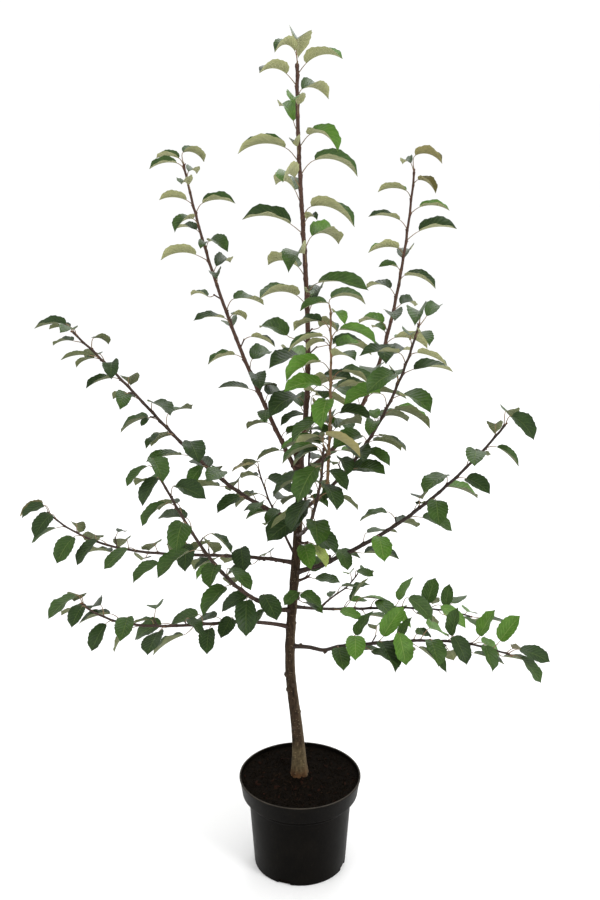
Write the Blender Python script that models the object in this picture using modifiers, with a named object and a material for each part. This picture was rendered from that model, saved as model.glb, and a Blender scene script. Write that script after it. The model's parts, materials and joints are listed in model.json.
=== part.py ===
# Dwarf apple tree in a nursery pot
#
# A young, once-pruned apple tree: one trunk with a bend low down, cut back to a short
# stub, a leader that took over beside the stub, ten boughs and a handful of lesser
# shoots, all in leaf, standing in a round black pot filled with compost.
#
# Metres, +Z up, the camera side is -Y.  The origin is the centre of the pot's flat
# underside.  Every limb is a smooth curve worked out from its heading, reach and rise.
# Every mass of foliage grows along its own stem by one seeded rule.
import math
import random
from collections import namedtuple

import bmesh
import bpy
from mathutils import Matrix, Vector
from mathutils.bvhtree import BVHTree

# Driving dimensions of the pot
POT_HEIGHT = 0.211
RIM_RADIUS = 0.130
BAND_HEIGHT = 0.040
BAND_FOOT_RADIUS = 0.1235
WALL_TOP_RADIUS = 0.1105
BASE_RADIUS = 0.099
POT_WALL = 0.0020
LIP_HEIGHT = 0.0030
LIP_PROUD = 0.0012
EDGE_ROUND = 0.0005
BAND_CHAMFER = 0.0015
FOOT_CHAMFER = 0.0020
POT_STEPS = 48
NOTCH_COUNT = 4
NOTCH_FIRST_ANGLE = -110.0
NOTCH_WIDTH = 0.027
NOTCH_HEIGHT = 0.012
NOTCH_DEPTH = 0.012
NOTCH_CORNER = 0.006

# Compost, just under the rim
SOIL_TOP = 0.203
GAP = 0.0003

# Trunk: it stands a little behind the pot's centre and bows to the left low down
TRUNK_Y = 0.012
TRUNK_BOW = 0.021
BOW_HEIGHT = 0.480
BOW_SPREAD_BELOW = 0.150
BOW_SPREAD_ABOVE = 0.230
TRUNK_TOP = 0.940
TRUNK_FOOT_RADIUS = 0.0125
TRUNK_TOP_RADIUS = 0.0064
FLARE = 0.0070
FLARE_HEIGHT = 0.050
STUB_LENGTH = 0.035
STUB_LEAN = 0.009
TRUNK_POINTS = 25
TRUNK_CROWDING = 1.15
TRUNK_SIDES = 12
BOUGH_SIDES = 8
STEM_SIDES = 4

# A limb is one curve: it leaves its parent at one slope and arrives at its tip at another
LIMB_PULL = 0.34
ROUTE_STEPS = 200
HALF_SIGHT = 0.002
STEP = 0.040
END_STEP = 0.0015
Limb = namedtuple(
    "Limb",
    "node leaves grows_from foot heading reach rise leave arrive "
    "thick thin bare leaf gap lift droop",
)
# foot: height above the ground, or the distance along the parent limb
# heading, leave, arrive, lift, droop: degrees; all the rest: metres
LIMBS = (
    Limb("leader", "leaves_leader", "trunk", 0.905,
         0, -0.004, 0.765, 81, 89, 0.0056, 0.0032, 0.060, 0.104, 0.025, 34, 74),
    Limb("bough_left_high", "leaves_left_high", "trunk", 0.882,
         150, 0.260, 0.599, 58, 77, 0.0048, 0.0022, 0.050, 0.073, 0.024, 22, 62),
    Limb("bough_left_middle", "leaves_left_middle", "trunk", 0.788,
         190, 0.427, 0.405, 21, 44, 0.0045, 0.0020, 0.036, 0.070, 0.021, 14, 66),
    Limb("bough_left_level", "leaves_left_level", "trunk", 0.696,
         158, 0.588, 0.026, 3, 36, 0.0042, 0.0019, 0.050, 0.082, 0.025, 0, 66),
    Limb("bough_left_rising", "leaves_left_rising", "trunk", 0.592,
         220, 0.320, 0.376, 19, 63, 0.0048, 0.0021, 0.060, 0.078, 0.024, 0, 66),
    Limb("bough_left_low", "leaves_left_low", "trunk", 0.552,
         204, 0.435, 0.136, 26, 48, 0.0043, 0.0018, 0.125, 0.076, 0.022, -4, 62),
    Limb("bough_right_low", "leaves_right_low", "trunk", 0.510,
         -28, 0.475, 0.092, 8, -10, 0.0044, 0.0018, 0.110, 0.076, 0.022, 0, 60),
    Limb("bough_right_slender", "leaves_right_slender", "trunk", 0.600,
         12, 0.390, -0.063, -14, -24, 0.0034, 0.0016, 0.085, 0.074, 0.022, 6, 56),
    Limb("bough_right_rising", "leaves_right_rising", "trunk", 0.675,
         -20, 0.416, 0.360, 24, 55, 0.0050, 0.0021, 0.080, 0.076, 0.027, 12, 66),
    Limb("bough_right_high", "leaves_right_high", "trunk", 0.891,
         40, 0.299, 0.571, 7, 84, 0.0052, 0.0022, 0.080, 0.084, 0.025, 26, 66),
    Limb("bough_right_middle", "leaves_right_middle", "trunk", 0.807,
         -40, 0.279, 0.425, 37, 74, 0.0042, 0.0020, 0.112, 0.080, 0.018, 20, 66),
    Limb("", "leaves_upright_shoot", "bough_right_middle", 0.096,
         -85, 0.042, 0.366, 67, 101, 0.0032, 0.0018, 0.040, 0.082, 0.016, 20, 70),
    Limb("", "leaves_front_shoot", "trunk", 0.759,
         -76, 0.200, 0.248, 20, 80, 0.0040, 0.0020, 0.050, 0.088, 0.022, 8, 74),
    Limb("", "leaves_back_shoot", "trunk", 0.769,
         68, 0.075, 0.235, 40, 80, 0.0028, 0.0017, 0.050, 0.070, 0.026, 12, 66),
    Limb("", "leaves_back_left_shoot", "trunk", 0.709,
         118, 0.170, 0.139, 30, 55, 0.0028, 0.0016, 0.055, 0.068, 0.026, 10, 66),
    Limb("", "leaves_right_twig", "bough_right_slender", 0.060,
         48, 0.120, 0.038, 30, 42, 0.0022, 0.0014, 0.030, 0.052, 0.022, 10, 60),
    Limb("", "leaves_spur_high", "trunk", 0.742,
         -52, 0.034, 0.012, 12, 40, 0.0030, 0.0024, 0.024, 0.070, 0.006, 4, 70),
    Limb("", "leaves_spur_middle", "trunk", 0.655,
         -12, 0.032, 0.018, 20, 50, 0.0028, 0.0022, 0.023, 0.058, 0.006, 30, 60),
    Limb("", "leaves_spur_low", "trunk", 0.618,
         -66, 0.032, 0.014, 15, 40, 0.0028, 0.0022, 0.023, 0.056, 0.006, 10, 64),
)

# Foliage: one rule for every mass.  A _PLAY is how far a seeded draw strays each way
SEED = 2025
SEED_STEP = 31
FIRST_LEAF = 0.004
GAP_PLAY = 0.25
TURN = 144.0
TURN_PLAY = 26.0
LENGTH_PLAY = 0.12
STALK_SPREAD = 52.0
SPREAD_PLAY = 9.0
STALK_RISE = 0.22
STALK_SHARE = 0.345
STALK_PLAY = 0.20
STALK_RADIUS = 0.0009
LEAF_BREADTH = 0.635
BREADTH_PLAY = 0.11
LEAF_SHOULDER = 0.82
LEAF_ROUNDNESS = 0.75
LEAF_THICKNESS = 0.0016
LEAF_FOLD = 24.0
HEADING_PLAY = 22.0
LIFT_PLAY = 14.0
DROOP_PLAY = 18.0
ROLL_PLAY = 26.0
STEEP_STALK = 0.30
SIDE_NUDGE = 0.5
BLADE_STATIONS = (0.30, 0.66)

# Leaves are smaller near a shoot's foot, young and small near its tip, two at its end
FOOT_LEAF_SHARE = 0.74
FOOT_STRETCH = 0.12
YOUNG_LEAF_SHARE = 0.80
YOUNG_STRETCH = 0.28
END_LEAF_SPREADS = (10.0, 34.0)
END_LEAF_INSET = 0.003
END_LEAF_STEP = 0.004
END_LEAF_TURN = 137.5
END_LEAF_LOSS = 0.15

# A leaf that would leave its space or touch anything is turned on, and then given up
TRIES = 12
TRY_TURN = 29.0
HOME_SHARE = 0.2
CLEARANCE = 0.0009
LIMB_CLEARANCE = 0.0015
LIMB_SLACK = 1.2
NEAR = 0.25

# Short spurs with a rosette of leaves
SPUR_CHANCE = 0.13
SPUR_LAST_SHARE = 0.7
SPUR_LENGTH = 0.020
SPUR_PLAY = 0.2
SPUR_RADIUS = 0.0016
SPUR_AHEAD = 0.5
SPUR_OUT = 0.8
SPUR_UP = 0.2
SPUR_LEAVES = 3
SPUR_LEAF_SHARE = 0.8
SPUR_LEAF_SPREAD = 48.0

UP = Vector((0.0, 0.0, 1.0))


def clear_scene():
    for item in list(bpy.data.objects):
        bpy.data.objects.remove(item, do_unlink=True)


def new_collection(name):
    collection = bpy.data.collections.new(name)
    bpy.context.scene.collection.children.link(collection)
    return collection


def make_material(name, color, roughness, metallic=0.0):
    material = bpy.data.materials.new(name)
    material.use_nodes = True
    shader = material.node_tree.nodes["Principled BSDF"]
    shader.inputs["Base Color"].default_value = (*color, 1.0)
    shader.inputs["Roughness"].default_value = roughness
    shader.inputs["Metallic"].default_value = metallic
    return material


def add_object(name, mesh, collection, material=None):
    item = bpy.data.objects.new(name, mesh)
    collection.objects.link(item)
    if material:
        mesh.materials.clear()
        mesh.materials.append(material)
    return item


def apply_modifiers(item):
    """Give an object the mesh that its modifiers make, and drop the modifiers."""
    graph = bpy.context.evaluated_depsgraph_get()
    mesh = bpy.data.meshes.new_from_object(item.evaluated_get(graph))
    item.modifiers.clear()
    item.data = mesh


def turned(name, profile, steps, collection, material):
    """A turned shape: a profile in the XZ plane with a Screw modifier about Z."""
    mesh = bpy.data.meshes.new(name)
    edges = [(i, i + 1) for i in range(len(profile) - 1)]
    mesh.from_pydata([(radius, 0.0, height) for radius, height in profile], edges, [])
    item = add_object(name, mesh, collection, material)
    screw = item.modifiers.new("Turn", "SCREW")
    screw.steps = steps
    screw.render_steps = steps
    screw.use_merge_vertices = True
    screw.merge_threshold = 0.0001
    apply_modifiers(item)
    return item


def smooth_shading(item, angle=35.0):
    item.data.shade_smooth()
    item.data.set_sharp_from_angle(angle=math.radians(angle))


def boolean(item, other, operation):
    """Cut or join two closed meshes and drop the second one."""
    modifier = item.modifiers.new("Cope", "BOOLEAN")
    modifier.operation = operation
    modifier.solver = "EXACT"
    modifier.object = other
    apply_modifiers(item)
    bpy.data.objects.remove(other, do_unlink=True)


def inner_outline(top, clear):
    """The pot's inside from its floor's edge up to a height, as radius and height."""
    band_foot = POT_HEIGHT - BAND_HEIGHT
    share = (top - band_foot) / BAND_HEIGHT
    top_radius = BAND_FOOT_RADIUS + (RIM_RADIUS - LIP_PROUD - BAND_FOOT_RADIUS) * share
    inset = POT_WALL + clear
    return [
        (BASE_RADIUS - inset, POT_WALL + clear),
        (WALL_TOP_RADIUS - inset, band_foot + clear),
        (BAND_FOOT_RADIUS - inset, band_foot + inset),
        (top_radius - inset, top),
    ]


def build_pot(parts, cutters, material):
    """A thin-walled pot with a stepped band, a small lip and drain notches in its base."""
    band_foot = POT_HEIGHT - BAND_HEIGHT
    lip_foot = POT_HEIGHT - LIP_HEIGHT
    band_top = RIM_RADIUS - LIP_PROUD
    profile = [
        (0.0, POT_WALL),
        *inner_outline(POT_HEIGHT, 0.0),
        (RIM_RADIUS - EDGE_ROUND, POT_HEIGHT),
        (RIM_RADIUS, POT_HEIGHT - EDGE_ROUND),
        (RIM_RADIUS, lip_foot),
        (band_top, lip_foot - EDGE_ROUND),
        (BAND_FOOT_RADIUS, band_foot + BAND_CHAMFER),
        (BAND_FOOT_RADIUS - BAND_CHAMFER, band_foot),
        (WALL_TOP_RADIUS, band_foot - POT_WALL),
        (BASE_RADIUS, FOOT_CHAMFER),
        (BASE_RADIUS - FOOT_CHAMFER, 0.0),
        (0.0, 0.0),
    ]
    pot = turned("pot", profile, POT_STEPS, parts, material)
    for index in range(NOTCH_COUNT):
        angle = math.radians(NOTCH_FIRST_ANGLE + index * 360.0 / NOTCH_COUNT)
        notch = notch_cutter(angle, cutters)
        boolean(pot, notch, "DIFFERENCE")
    smooth_shading(pot)
    return pot


def notch_cutter(angle, cutters):
    """A block through the wall's foot, with its two upper corners rounded."""
    mesh = bpy.data.meshes.new("notch")
    shape = bmesh.new()
    bmesh.ops.create_cube(shape, size=1.0)
    size = (2.0 * NOTCH_DEPTH, NOTCH_WIDTH, 2.0 * NOTCH_HEIGHT)
    bmesh.ops.scale(shape, vec=size, verts=shape.verts)
    uprights = [
        edge for edge in shape.edges
        if abs(edge.verts[0].co.x - edge.verts[1].co.x) > NOTCH_DEPTH
        and edge.verts[0].co.z > 0.0
    ]
    bmesh.ops.bevel(
        shape, geom=uprights, offset=NOTCH_CORNER, segments=4, profile=0.5, affect="EDGES"
    )
    shape.to_mesh(mesh)
    shape.free()
    notch = add_object("notch", mesh, cutters)
    notch.location = (BASE_RADIUS * math.cos(angle), BASE_RADIUS * math.sin(angle), 0.0)
    notch.rotation_euler = (0.0, 0.0, angle)
    notch.hide_render = True
    notch.display_type = "WIRE"
    return notch


def build_soil(parts, material):
    """The compost: one filled solid that follows the inside of the pot a hair clear of it."""
    side = inner_outline(SOIL_TOP, GAP)
    profile = [(0.0, SOIL_TOP), *reversed(side), (0.0, POT_WALL + GAP)]
    soil = turned("soil", profile, POT_STEPS, parts, material)
    smooth_shading(soil)
    return soil


def trunk_x(height):
    """How far the trunk's middle stands to the right at a height, before the stub leans."""
    spread = BOW_SPREAD_BELOW if height < BOW_HEIGHT else BOW_SPREAD_ABOVE
    return -TRUNK_BOW * math.exp(-((height - BOW_HEIGHT) / spread) ** 2)


def trunk_point(height):
    lean = max(0.0, height - (TRUNK_TOP - STUB_LENGTH)) / STUB_LENGTH
    return Vector((trunk_x(height) - STUB_LEAN * lean, TRUNK_Y, height))


def trunk_radius(height):
    share = (height - SOIL_TOP) / (TRUNK_TOP - SOIL_TOP)
    taper = TRUNK_FOOT_RADIUS + (TRUNK_TOP_RADIUS - TRUNK_FOOT_RADIUS) * share
    return taper + FLARE * math.exp(-(height - SOIL_TOP) / FLARE_HEIGHT)


def trunk_route():
    """Middle points and radii from the flat cut at the compost to the pruned stub."""
    foot = SOIL_TOP + GAP
    shares = [(i / TRUNK_POINTS) ** TRUNK_CROWDING for i in range(TRUNK_POINTS + 1)]
    heights = [foot + (TRUNK_TOP - foot) * share for share in shares]
    points = [trunk_point(height) for height in heights]
    points[0].x = points[1].x
    return points, [trunk_radius(height) for height in heights]


def tube(name, points, radii, sides, collection, material=None):
    """A tapering round tube with flat ends, as a closed mesh."""
    curve = bpy.data.curves.new(name, "CURVE")
    curve.dimensions = "3D"
    curve.bevel_depth = 1.0
    curve.bevel_resolution = (sides - 4) // 2
    curve.use_fill_caps = True
    spline = curve.splines.new("POLY")
    spline.points.add(len(points) - 1)
    for knot, point, radius in zip(spline.points, points, radii):
        knot.co = (*point, 1.0)
        knot.radius = radius
    guide = add_object(name + "_guide", curve, collection)
    graph = bpy.context.evaluated_depsgraph_get()
    mesh = bpy.data.meshes.new_from_object(guide.evaluated_get(graph))
    bpy.data.objects.remove(guide, do_unlink=True)
    shape = bmesh.new()
    shape.from_mesh(mesh)
    bmesh.ops.remove_doubles(shape, verts=shape.verts, dist=0.00002)
    bmesh.ops.recalc_face_normals(shape, faces=shape.faces)
    shape.to_mesh(mesh)
    shape.free()
    return add_object(name, mesh, collection, material)


class Route:
    """A limb's middle line, read by the distance along it."""

    def __init__(self, limb, foot):
        heading = math.radians(limb.heading)
        self.limb = limb
        self.out = Vector((math.cos(heading), math.sin(heading), 0.0))
        self.side = Vector((-math.sin(heading), math.cos(heading), 0.0))
        pull = LIMB_PULL * math.hypot(limb.reach, limb.rise)
        tip = foot + self.out * limb.reach + UP * limb.rise
        first = foot + self.slope(limb.leave) * pull
        last = tip - self.slope(limb.arrive) * pull
        self.points = []
        for i in range(ROUTE_STEPS + 1):
            t = i / ROUTE_STEPS
            u = 1.0 - t
            near = foot * u**3 + first * (3 * u * u * t)
            far = last * (3 * u * t * t) + tip * t**3
            self.points.append(near + far)
        self.marks = [0.0]
        for a, b in zip(self.points, self.points[1:]):
            self.marks.append(self.marks[-1] + (b - a).length)
        self.length = self.marks[-1]

    def slope(self, degrees):
        angle = math.radians(degrees)
        return self.out * math.cos(angle) + UP * math.sin(angle)

    def at(self, distance):
        distance = min(max(distance, 0.0), self.length)
        low = 0
        while low < ROUTE_STEPS - 1 and self.marks[low + 1] < distance:
            low += 1
        span = self.marks[low + 1] - self.marks[low]
        share = (distance - self.marks[low]) / span
        return self.points[low].lerp(self.points[low + 1], share)

    def along(self, distance):
        return (self.at(distance + HALF_SIGHT) - self.at(distance - HALF_SIGHT)).normalized()

    def radius(self, distance):
        share = distance / self.length
        return self.limb.thick + (self.limb.thin - self.limb.thick) * share

    def stretch(self, start, end):
        """Points and radii between two distances, with short end steps that set flat ends square."""
        inner_start = start + END_STEP
        inner_end = end - END_STEP
        count = max(1, math.ceil((inner_end - inner_start) / STEP))
        marks = [inner_start + (inner_end - inner_start) * i / count for i in range(count + 1)]
        marks = [start, *marks, end]
        return [self.at(mark) for mark in marks], [self.radius(mark) for mark in marks]


def plan_routes():
    routes = {}
    by_node = {}
    for limb in LIMBS:
        if limb.grows_from == "trunk":
            foot = trunk_point(limb.foot)
        else:
            foot = by_node[limb.grows_from].at(limb.foot)
        route = Route(limb, foot)
        routes[limb.leaves] = route
        if limb.node:
            by_node[limb.node] = route
    return routes, by_node


def parent_tube(limb, by_node, cutters):
    """The trunk or bough that a limb grows from, a hair thicker, to cope the limb's foot."""
    if limb.grows_from == "trunk":
        points, radii = trunk_route()
        sides = TRUNK_SIDES
    else:
        route = by_node[limb.grows_from]
        points, radii = route.stretch(0.0, route.limb.bare)
        sides = BOUGH_SIDES
    return tube("cope", points, [radius + GAP for radius in radii], sides, cutters)


# Foliage: stations, spurs and leaves
Leaf = namedtuple("Leaf", "root stalk_end ahead lift droop roll length breadth")


def leaf_frame(leaf, share):
    """Middle, forward, sideways and upward directions at a share of the blade's length."""
    lift = math.radians(leaf.lift)
    droop = math.radians(max(leaf.droop, 1.0))
    pitch = lift - droop * share
    level = (math.sin(lift) - math.sin(pitch)) / droop * leaf.length
    rise = (math.cos(pitch) - math.cos(lift)) / droop * leaf.length
    middle = leaf.stalk_end + leaf.ahead * level + UP * rise
    forward = leaf.ahead * math.cos(pitch) + UP * math.sin(pitch)
    side = UP.cross(leaf.ahead)
    side = Matrix.Rotation(math.radians(leaf.roll), 3, forward) @ side
    return middle, forward, side, forward.cross(side)


def leaf_half_breadth(leaf, share):
    return 0.5 * leaf.breadth * math.sin(math.pi * share**LEAF_SHOULDER) ** LEAF_ROUNDNESS


def stalk_ring(place, across, upward, radius):
    """A three-cornered ring, flat side up."""
    low = -upward * radius
    high = upward * (0.5 * radius)
    wide = across * (math.sqrt(0.75) * radius)
    return [place + wide + high, place - wide + high, place + low]


def leaf_rings(leaf, grow=0.0):
    """Rings of a leaf from its stalk's root to its blade's last station, and its point."""
    _, forward, side, _ = leaf_frame(leaf, 0.0)
    line = (leaf.stalk_end - leaf.root).normalized()
    bend = (line + forward).normalized()
    rings = []
    for place, ahead in ((leaf.root, line), (leaf.stalk_end, bend)):
        across = (side - ahead * side.dot(ahead)).normalized()
        rings.append(stalk_ring(place, across, ahead.cross(across), STALK_RADIUS + grow))
    fold = math.radians(LEAF_FOLD)
    for share in BLADE_STATIONS:
        middle, _, side, normal = leaf_frame(leaf, share)
        half = leaf_half_breadth(leaf, share) + grow
        raised = normal * (half * math.sin(fold))
        reach = side * (half * math.cos(fold))
        deep = normal * (LEAF_THICKNESS / 2 + grow)
        rings.append([middle + reach + raised, middle - reach + raised, middle - deep, middle + deep])
    point, forward, _, _ = leaf_frame(leaf, 1.0)
    return rings, point + forward * grow


# A ring's corners are: right, left, under and, on a blade, the midrib's upper side
AROUND = {3: (0, 1, 2), 4: (0, 3, 1, 2)}


def loft(rings, tip):
    """Corners and faces of a closed loft through rings of three or four corners, pointed at its end."""
    corners = [corner for ring in rings for corner in ring] + [tip]
    starts = [0]
    for ring in rings:
        starts.append(starts[-1] + len(ring))
    faces = [tuple(AROUND[len(rings[0])])]
    for row in range(len(rings) - 1):
        low, high = starts[row], starts[row + 1]
        lower = [low + i for i in AROUND[len(rings[row])]]
        upper = [high + i for i in AROUND[len(rings[row + 1])]]
        if len(lower) == len(upper):
            for i, corner in enumerate(lower):
                j = (i + 1) % len(lower)
                faces.append((corner, lower[j], upper[j], upper[i]))
        else:
            right, left, under = lower
            blade_right, midrib, blade_left, blade_under = upper
            faces.append((right, midrib, blade_right))
            faces.append((right, left, midrib))
            faces.append((left, blade_left, midrib))
            faces.append((left, under, blade_under, blade_left))
            faces.append((under, right, blade_right, blade_under))
    last = [starts[-2] + i for i in AROUND[len(rings[-1])]]
    for i, corner in enumerate(last):
        faces.append((corner, last[(i + 1) % len(last)], starts[-1]))
    return corners, faces


def loft_mesh(name, rings, tip):
    corners, faces = loft(rings, tip)
    mesh = bpy.data.meshes.new(name)
    mesh.from_pydata(corners, [], faces)
    shape = bmesh.new()
    shape.from_mesh(mesh)
    bmesh.ops.triangulate(shape, faces=shape.faces)
    bmesh.ops.recalc_face_normals(shape, faces=shape.faces)
    shape.to_mesh(mesh)
    shape.free()
    return mesh


def tree_of(rings, tip):
    return BVHTree.FromPolygons(*loft(rings, tip))


class Crown:
    """What already stands in the crown, so that nothing new touches it."""

    def __init__(self):
        self.limbs = []
        self.leaves = []

    def add_limb(self, name, points, radii):
        rings = []
        for i, point in enumerate(points):
            ahead = (points[min(i + 1, len(points) - 1)] - points[max(i - 1, 0)]).normalized()
            across = ahead.orthogonal().normalized()
            upward = across.cross(ahead)
            wide = (radii[i] + LIMB_CLEARANCE) * LIMB_SLACK
            rings.append([
                point + across * wide, point - across * wide,
                point - upward * wide, point + upward * wide,
            ])
        self.limbs.append((name, tree_of(rings, points[-1]), points))

    def nearest_limb(self, place):
        def gap(points):
            return min((point - place).length for point in points)
        return min(self.limbs, key=lambda limb: gap(limb[2]))[0]

    def takes(self, owner, rings, tip):
        """True where a grown leaf or twig is clear of every limb and of every leaf."""
        whole = tree_of(rings, tip)
        free = tree_of(rings[1:], tip)
        middle = rings[-1][-1]
        for name, tree, _ in self.limbs:
            if (free if name == owner else whole).overlap(tree):
                return False
        for centre, tree in self.leaves:
            if (centre - middle).length < NEAR and whole.overlap(tree):
                return False
        return True

    def add_leaf(self, rings, tip):
        self.leaves.append((rings[-1][-1], tree_of(rings, tip)))


def stray(dice, play):
    """A seeded draw that strays up to its play from nought, either way."""
    return dice.uniform(-play, play)


def spoke_of(route, along, turn):
    """The direction square to a limb at a turn about it."""
    level = along.cross(route.side).normalized()
    return route.side * math.cos(turn) + level * math.sin(turn)


def grow_leaf(dice, route, root, along, turn, size, spread):
    """One leaf on a stalk: where it points follows the turn about its stem, and the light."""
    limb = route.limb
    angle = math.radians(spread)
    line = along * math.cos(angle) + spoke_of(route, along, turn) * math.sin(angle)
    line = (line + UP * STALK_RISE).normalized()
    length = size * (1.0 + stray(dice, LENGTH_PLAY))
    stalk = length * STALK_SHARE * (1.0 + stray(dice, STALK_PLAY))
    ahead = Vector((line.x, line.y, 0.0))
    if ahead.length < STEEP_STALK:
        ahead = ahead + route.side * math.copysign(SIDE_NUDGE, math.cos(turn))
    heading = math.radians(stray(dice, HEADING_PLAY))
    return Leaf(
        root=root,
        stalk_end=root + line * stalk,
        ahead=Matrix.Rotation(heading, 3, "Z") @ ahead.normalized(),
        lift=limb.lift + stray(dice, LIFT_PLAY),
        droop=limb.droop + stray(dice, DROOP_PLAY),
        roll=stray(dice, ROLL_PLAY),
        length=length,
        breadth=length * LEAF_BREADTH * (1.0 + stray(dice, BREADTH_PLAY)),
    )


def try_leaf(dice, crown, route, root, along, turn, size, spread):
    """Turn a leaf a little further until it keeps to its own space, or give it up."""
    limb = route.limb
    home = (limb.leaves, limb.node, limb.grows_from)
    for attempt in range(TRIES):
        turned_on = turn + math.radians(TRY_TURN) * attempt
        leaf = grow_leaf(dice, route, root, along, turned_on, size, spread)
        if crown.nearest_limb(leaf_frame(leaf, HOME_SHARE)[0]) not in home:
            continue
        rings, tip = leaf_rings(leaf, CLEARANCE)
        if crown.takes(limb.leaves, rings, tip):
            crown.add_leaf(*leaf_rings(leaf))
            return leaf
    return None


def size_share(share):
    """Leaves are smaller at the foot of a shoot and young and small at its tip."""
    foot = FOOT_LEAF_SHARE + (1.0 - FOOT_LEAF_SHARE) * min(1.0, share / FOOT_STRETCH)
    youth = max(0.0, (share + YOUNG_STRETCH - 1.0) / YOUNG_STRETCH)
    return foot * (1.0 - (1.0 - YOUNG_LEAF_SHARE) * youth)


def grow_mass(index, route, crown):
    """Leaves and spurs of one mass, by a seeded rule along its stem."""
    dice = random.Random(SEED + SEED_STEP * index)
    limb = route.limb
    leaves = []
    spurs = []
    turn = dice.uniform(0.0, 2.0 * math.pi)
    distance = limb.bare + FIRST_LEAF
    while distance < route.length - limb.gap * GAP_PLAY:
        share = (distance - limb.bare) / (route.length - limb.bare)
        root = route.at(distance)
        along = route.along(distance)
        size = limb.leaf * size_share(share)
        if dice.random() < SPUR_CHANCE and share < SPUR_LAST_SHARE and limb.node:
            spur, its_leaves = grow_spur(dice, crown, route, root, along, turn, size)
            spurs.extend(spur)
            leaves.extend(its_leaves)
        else:
            spread = STALK_SPREAD + stray(dice, SPREAD_PLAY)
            leaf = try_leaf(dice, crown, route, root, along, turn, size, spread)
            if leaf:
                leaves.append(leaf)
        turn += math.radians(TURN + stray(dice, TURN_PLAY))
        distance += limb.gap * (1.0 + stray(dice, GAP_PLAY))
    for place, spread in enumerate(END_LEAF_SPREADS):
        root = route.at(route.length - END_LEAF_INSET - END_LEAF_STEP * place)
        along = route.along(route.length)
        size = limb.leaf * (1.0 - END_LEAF_LOSS * place)
        its_turn = turn + math.radians(END_LEAF_TURN) * place
        leaf = try_leaf(dice, crown, route, root, along, its_turn, size, spread)
        if leaf:
            leaves.append(leaf)
    return leaves, spurs


def grow_spur(dice, crown, route, root, along, turn, size):
    """A short woody twig with a rosette of smaller leaves at its end."""
    line = along * SPUR_AHEAD + spoke_of(route, along, turn) * SPUR_OUT + UP * SPUR_UP
    line.normalize()
    end = root + line * SPUR_LENGTH * (1.0 + stray(dice, SPUR_PLAY))
    across = line.orthogonal().normalized()
    upward = across.cross(line)
    rings = [stalk_ring(place, across, upward, SPUR_RADIUS) for place in (root, end)]
    clear = [stalk_ring(place, across, upward, SPUR_RADIUS + CLEARANCE) for place in (root, end)]
    if not crown.takes(route.limb.leaves, clear, end + line * SPUR_RADIUS):
        return [], []
    leaves = []
    base = end - line * (1.5 * SPUR_RADIUS)
    for step in range(SPUR_LEAVES):
        angle = turn + 2.0 * math.pi * step / SPUR_LEAVES
        leaf = try_leaf(dice, crown, route, base, line, angle, size * SPUR_LEAF_SHARE, SPUR_LEAF_SPREAD)
        if leaf:
            leaves.append(leaf)
    if not leaves:
        return [], []
    bud = end + line * (0.5 * SPUR_RADIUS)
    crown.add_leaf(rings, bud)
    return [(rings, bud)], leaves


def face_islands(shape):
    """The bodies of a mesh: sets of faces that share edges, the largest one first."""
    left = set(shape.faces)
    islands = []
    while left:
        seed = left.pop()
        island = {seed}
        border = [seed]
        while border:
            for edge in border.pop().edges:
                for face in edge.link_faces:
                    if face not in island:
                        island.add(face)
                        border.append(face)
        left -= island
        islands.append(island)
    return sorted(islands, key=len, reverse=True)


def keep_largest(item):
    """Drop loose scraps and the walls of sealed hollows."""
    shape = bmesh.new()
    shape.from_mesh(item.data)
    islands = face_islands(shape)
    scraps = [face for island in islands[1:] for face in island]
    bmesh.ops.delete(shape, geom=scraps, context="FACES")
    shape.to_mesh(item.data)
    shape.free()
    return len(islands) - 1


def is_closed(mesh):
    shape = bmesh.new()
    shape.from_mesh(mesh)
    closed = all(len(edge.link_faces) == 2 for edge in shape.edges)
    shape.free()
    return closed


def fuse_mass(stem, pieces):
    """Join a stem with its leaves and twigs by one union on their collection."""
    group = new_collection("joining")
    for rings, tip in pieces:
        add_object("piece", loft_mesh("piece", rings, tip), group)
    bare_stem = stem.data.copy()
    for solver in ("EXACT", "MANIFOLD"):
        stem.data = bare_stem.copy()
        union = stem.modifiers.new("Fuse", "BOOLEAN")
        union.operation = "UNION"
        union.operand_type = "COLLECTION"
        union.collection = group
        union.solver = solver
        apply_modifiers(stem)
        scraps = keep_largest(stem)
        if is_closed(stem.data):
            break
    for item in list(group.objects):
        bpy.data.objects.remove(item, do_unlink=True)
    bpy.data.collections.remove(group)
    return solver, scraps


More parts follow.
